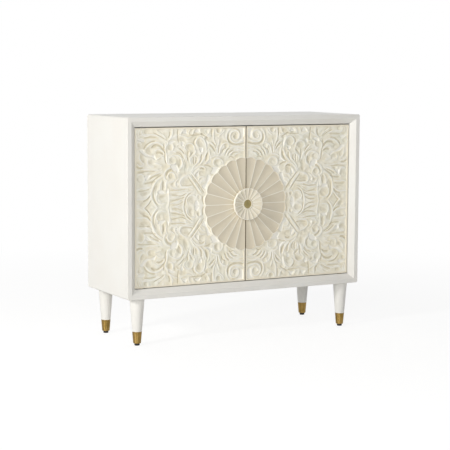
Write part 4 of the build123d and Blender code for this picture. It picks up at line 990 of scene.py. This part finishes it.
def floor_material():
    """Plain pale studio floor. The camera sees it near white, and it keeps the cabinet's shadow."""
    material, tree, place = new_material("pale_floor")
    paper = add_node(tree, "ShaderNodeBsdfDiffuse", {"Color": linear("#f6f6f5")})
    shaded = add_node(tree, "ShaderNodeBsdfDiffuse", {"Color": [FLOOR_GREY] * 3 + [1]})
    glow = add_node(tree, "ShaderNodeEmission", {"Color": WHITE, "Strength": FLOOR_GLOW})
    lit = add_node(tree, "ShaderNodeAddShader", {0: shaded, 1: glow})
    white = add_node(tree, "ShaderNodeEmission", {"Color": WHITE, "Strength": 1.0})
    away = add_node(tree, "ShaderNodeVectorMath", {0: place}, operation="LENGTH")
    far = add_node(tree, "ShaderNodeMapRange", {
        "Value": away, "From Min": FLOOR_FADE_START, "From Max": FLOOR_FADE_END})
    faded = add_node(tree, "ShaderNodeMixShader", {0: far, 1: lit, 2: white})
    mixed = add_node(tree, "ShaderNodeMixShader", {0: seen_directly(tree), 1: paper, 2: faded})
    add_node(tree, "ShaderNodeOutputMaterial", {"Surface": mixed})
    return material


def room_light(tree):
    """How bright the room is in each direction."""
    facing = add_node(tree, "ShaderNodeTexCoord").outputs["Generated"]
    across, inward, upward = add_node(tree, "ShaderNodeSeparateXYZ", {"Vector": facing}).outputs
    to_right = add_node(tree, "ShaderNodeMapRange", {"Value": across, "From Min": -1.0})
    to_back = add_node(tree, "ShaderNodeMapRange", {"Value": inward})
    to_top = add_node(tree, "ShaderNodeMapRange", {"Value": upward, "To Max": ROOM_ABOVE})
    sideways = add_node(tree, "ShaderNodeMapRange", {
        "Value": across, "From Min": -1.0, "To Min": ROOM_LEFT, "To Max": ROOM_RIGHT})
    corner = add_node(tree, "ShaderNodeMath", {0: to_back, 1: to_right}, operation="MULTIPLY")
    walls = add_node(tree, "ShaderNodeMath", {0: corner, 1: 2 * ROOM_BEHIND, 2: sideways},
                     operation="MULTIPLY_ADD")
    return add_node(tree, "ShaderNodeMath", {0: walls, 1: to_top}, operation="ADD")


def area_light(name, place, size, power, hex_code):
    """A round lamp that faces the cabinet."""
    lamp = bpy.data.lights.new(name, "AREA")
    lamp.shape = "DISK"
    lamp.size = size
    lamp.energy = power
    lamp.color = linear(hex_code)[:3]
    holder = bpy.data.objects.new(name, lamp)
    bpy.context.scene.collection.objects.link(holder)
    holder.location = place
    holder.rotation_euler = (Vector(LIGHT_TARGET) - Vector(place)).to_track_quat("-Z", "Y").to_euler()


floor_mesh = bpy.data.meshes.new("floor")
floor_corners = [(x * FLOOR_REACH, y * FLOOR_REACH, 0) for x, y in ((-1, -1), (1, -1), (1, 1), (-1, 1))]
floor_mesh.from_pydata(floor_corners, [], [(0, 1, 2, 3)])
floor_mesh.materials.append(floor_material())
floor = bpy.data.objects.new("floor", floor_mesh)
bpy.context.scene.collection.objects.link(floor)

world = bpy.data.worlds.new("studio")
bpy.context.scene.world = world
world.use_nodes = True
sky = world.node_tree
sky.nodes.clear()
room = add_node(sky, "ShaderNodeBackground", {"Color": linear("#fbfbfa"), "Strength": room_light(sky)})
white = add_node(sky, "ShaderNodeBackground", {"Color": WHITE, "Strength": 1.0})
chosen = add_node(sky, "ShaderNodeMixShader", {0: seen_directly(sky), 1: room, 2: white})
add_node(sky, "ShaderNodeOutputWorld", {"Surface": chosen})

area_light("side_window", (-4.3, -1.37, 1.95), size=0.7, power=91, hex_code="#fffdf9")
area_light("front_softbox", (-2.0, -3.5, 1.5), size=1.8, power=47.5, hex_code="#fffefc")

lens = bpy.data.cameras.new("camera")
lens.sensor_width = SENSOR
lens.lens = FOCAL_PIXELS / IMAGE_SIDE * SENSOR
lens.clip_end = FARTHEST_SEEN
camera = bpy.data.objects.new("camera", lens)
bpy.context.scene.collection.objects.link(camera)
ahead = Vector((math.sin(CAMERA_YAW) * math.cos(CAMERA_PITCH),
                math.cos(CAMERA_YAW) * math.cos(CAMERA_PITCH),
                math.sin(CAMERA_PITCH)))
level_right = Vector((math.cos(CAMERA_YAW), -math.sin(CAMERA_YAW), 0))
level_up = level_right.cross(ahead)
right = level_right * math.cos(CAMERA_ROLL) + level_up * math.sin(CAMERA_ROLL)
up = right.cross(ahead)
camera.matrix_world = Matrix.Translation(CAMERA_PLACE) @ Matrix((right, up, -ahead)).transposed().to_4x4()
bpy.context.scene.camera = camera
bpy.context.scene.view_settings.view_transform = "Standard"
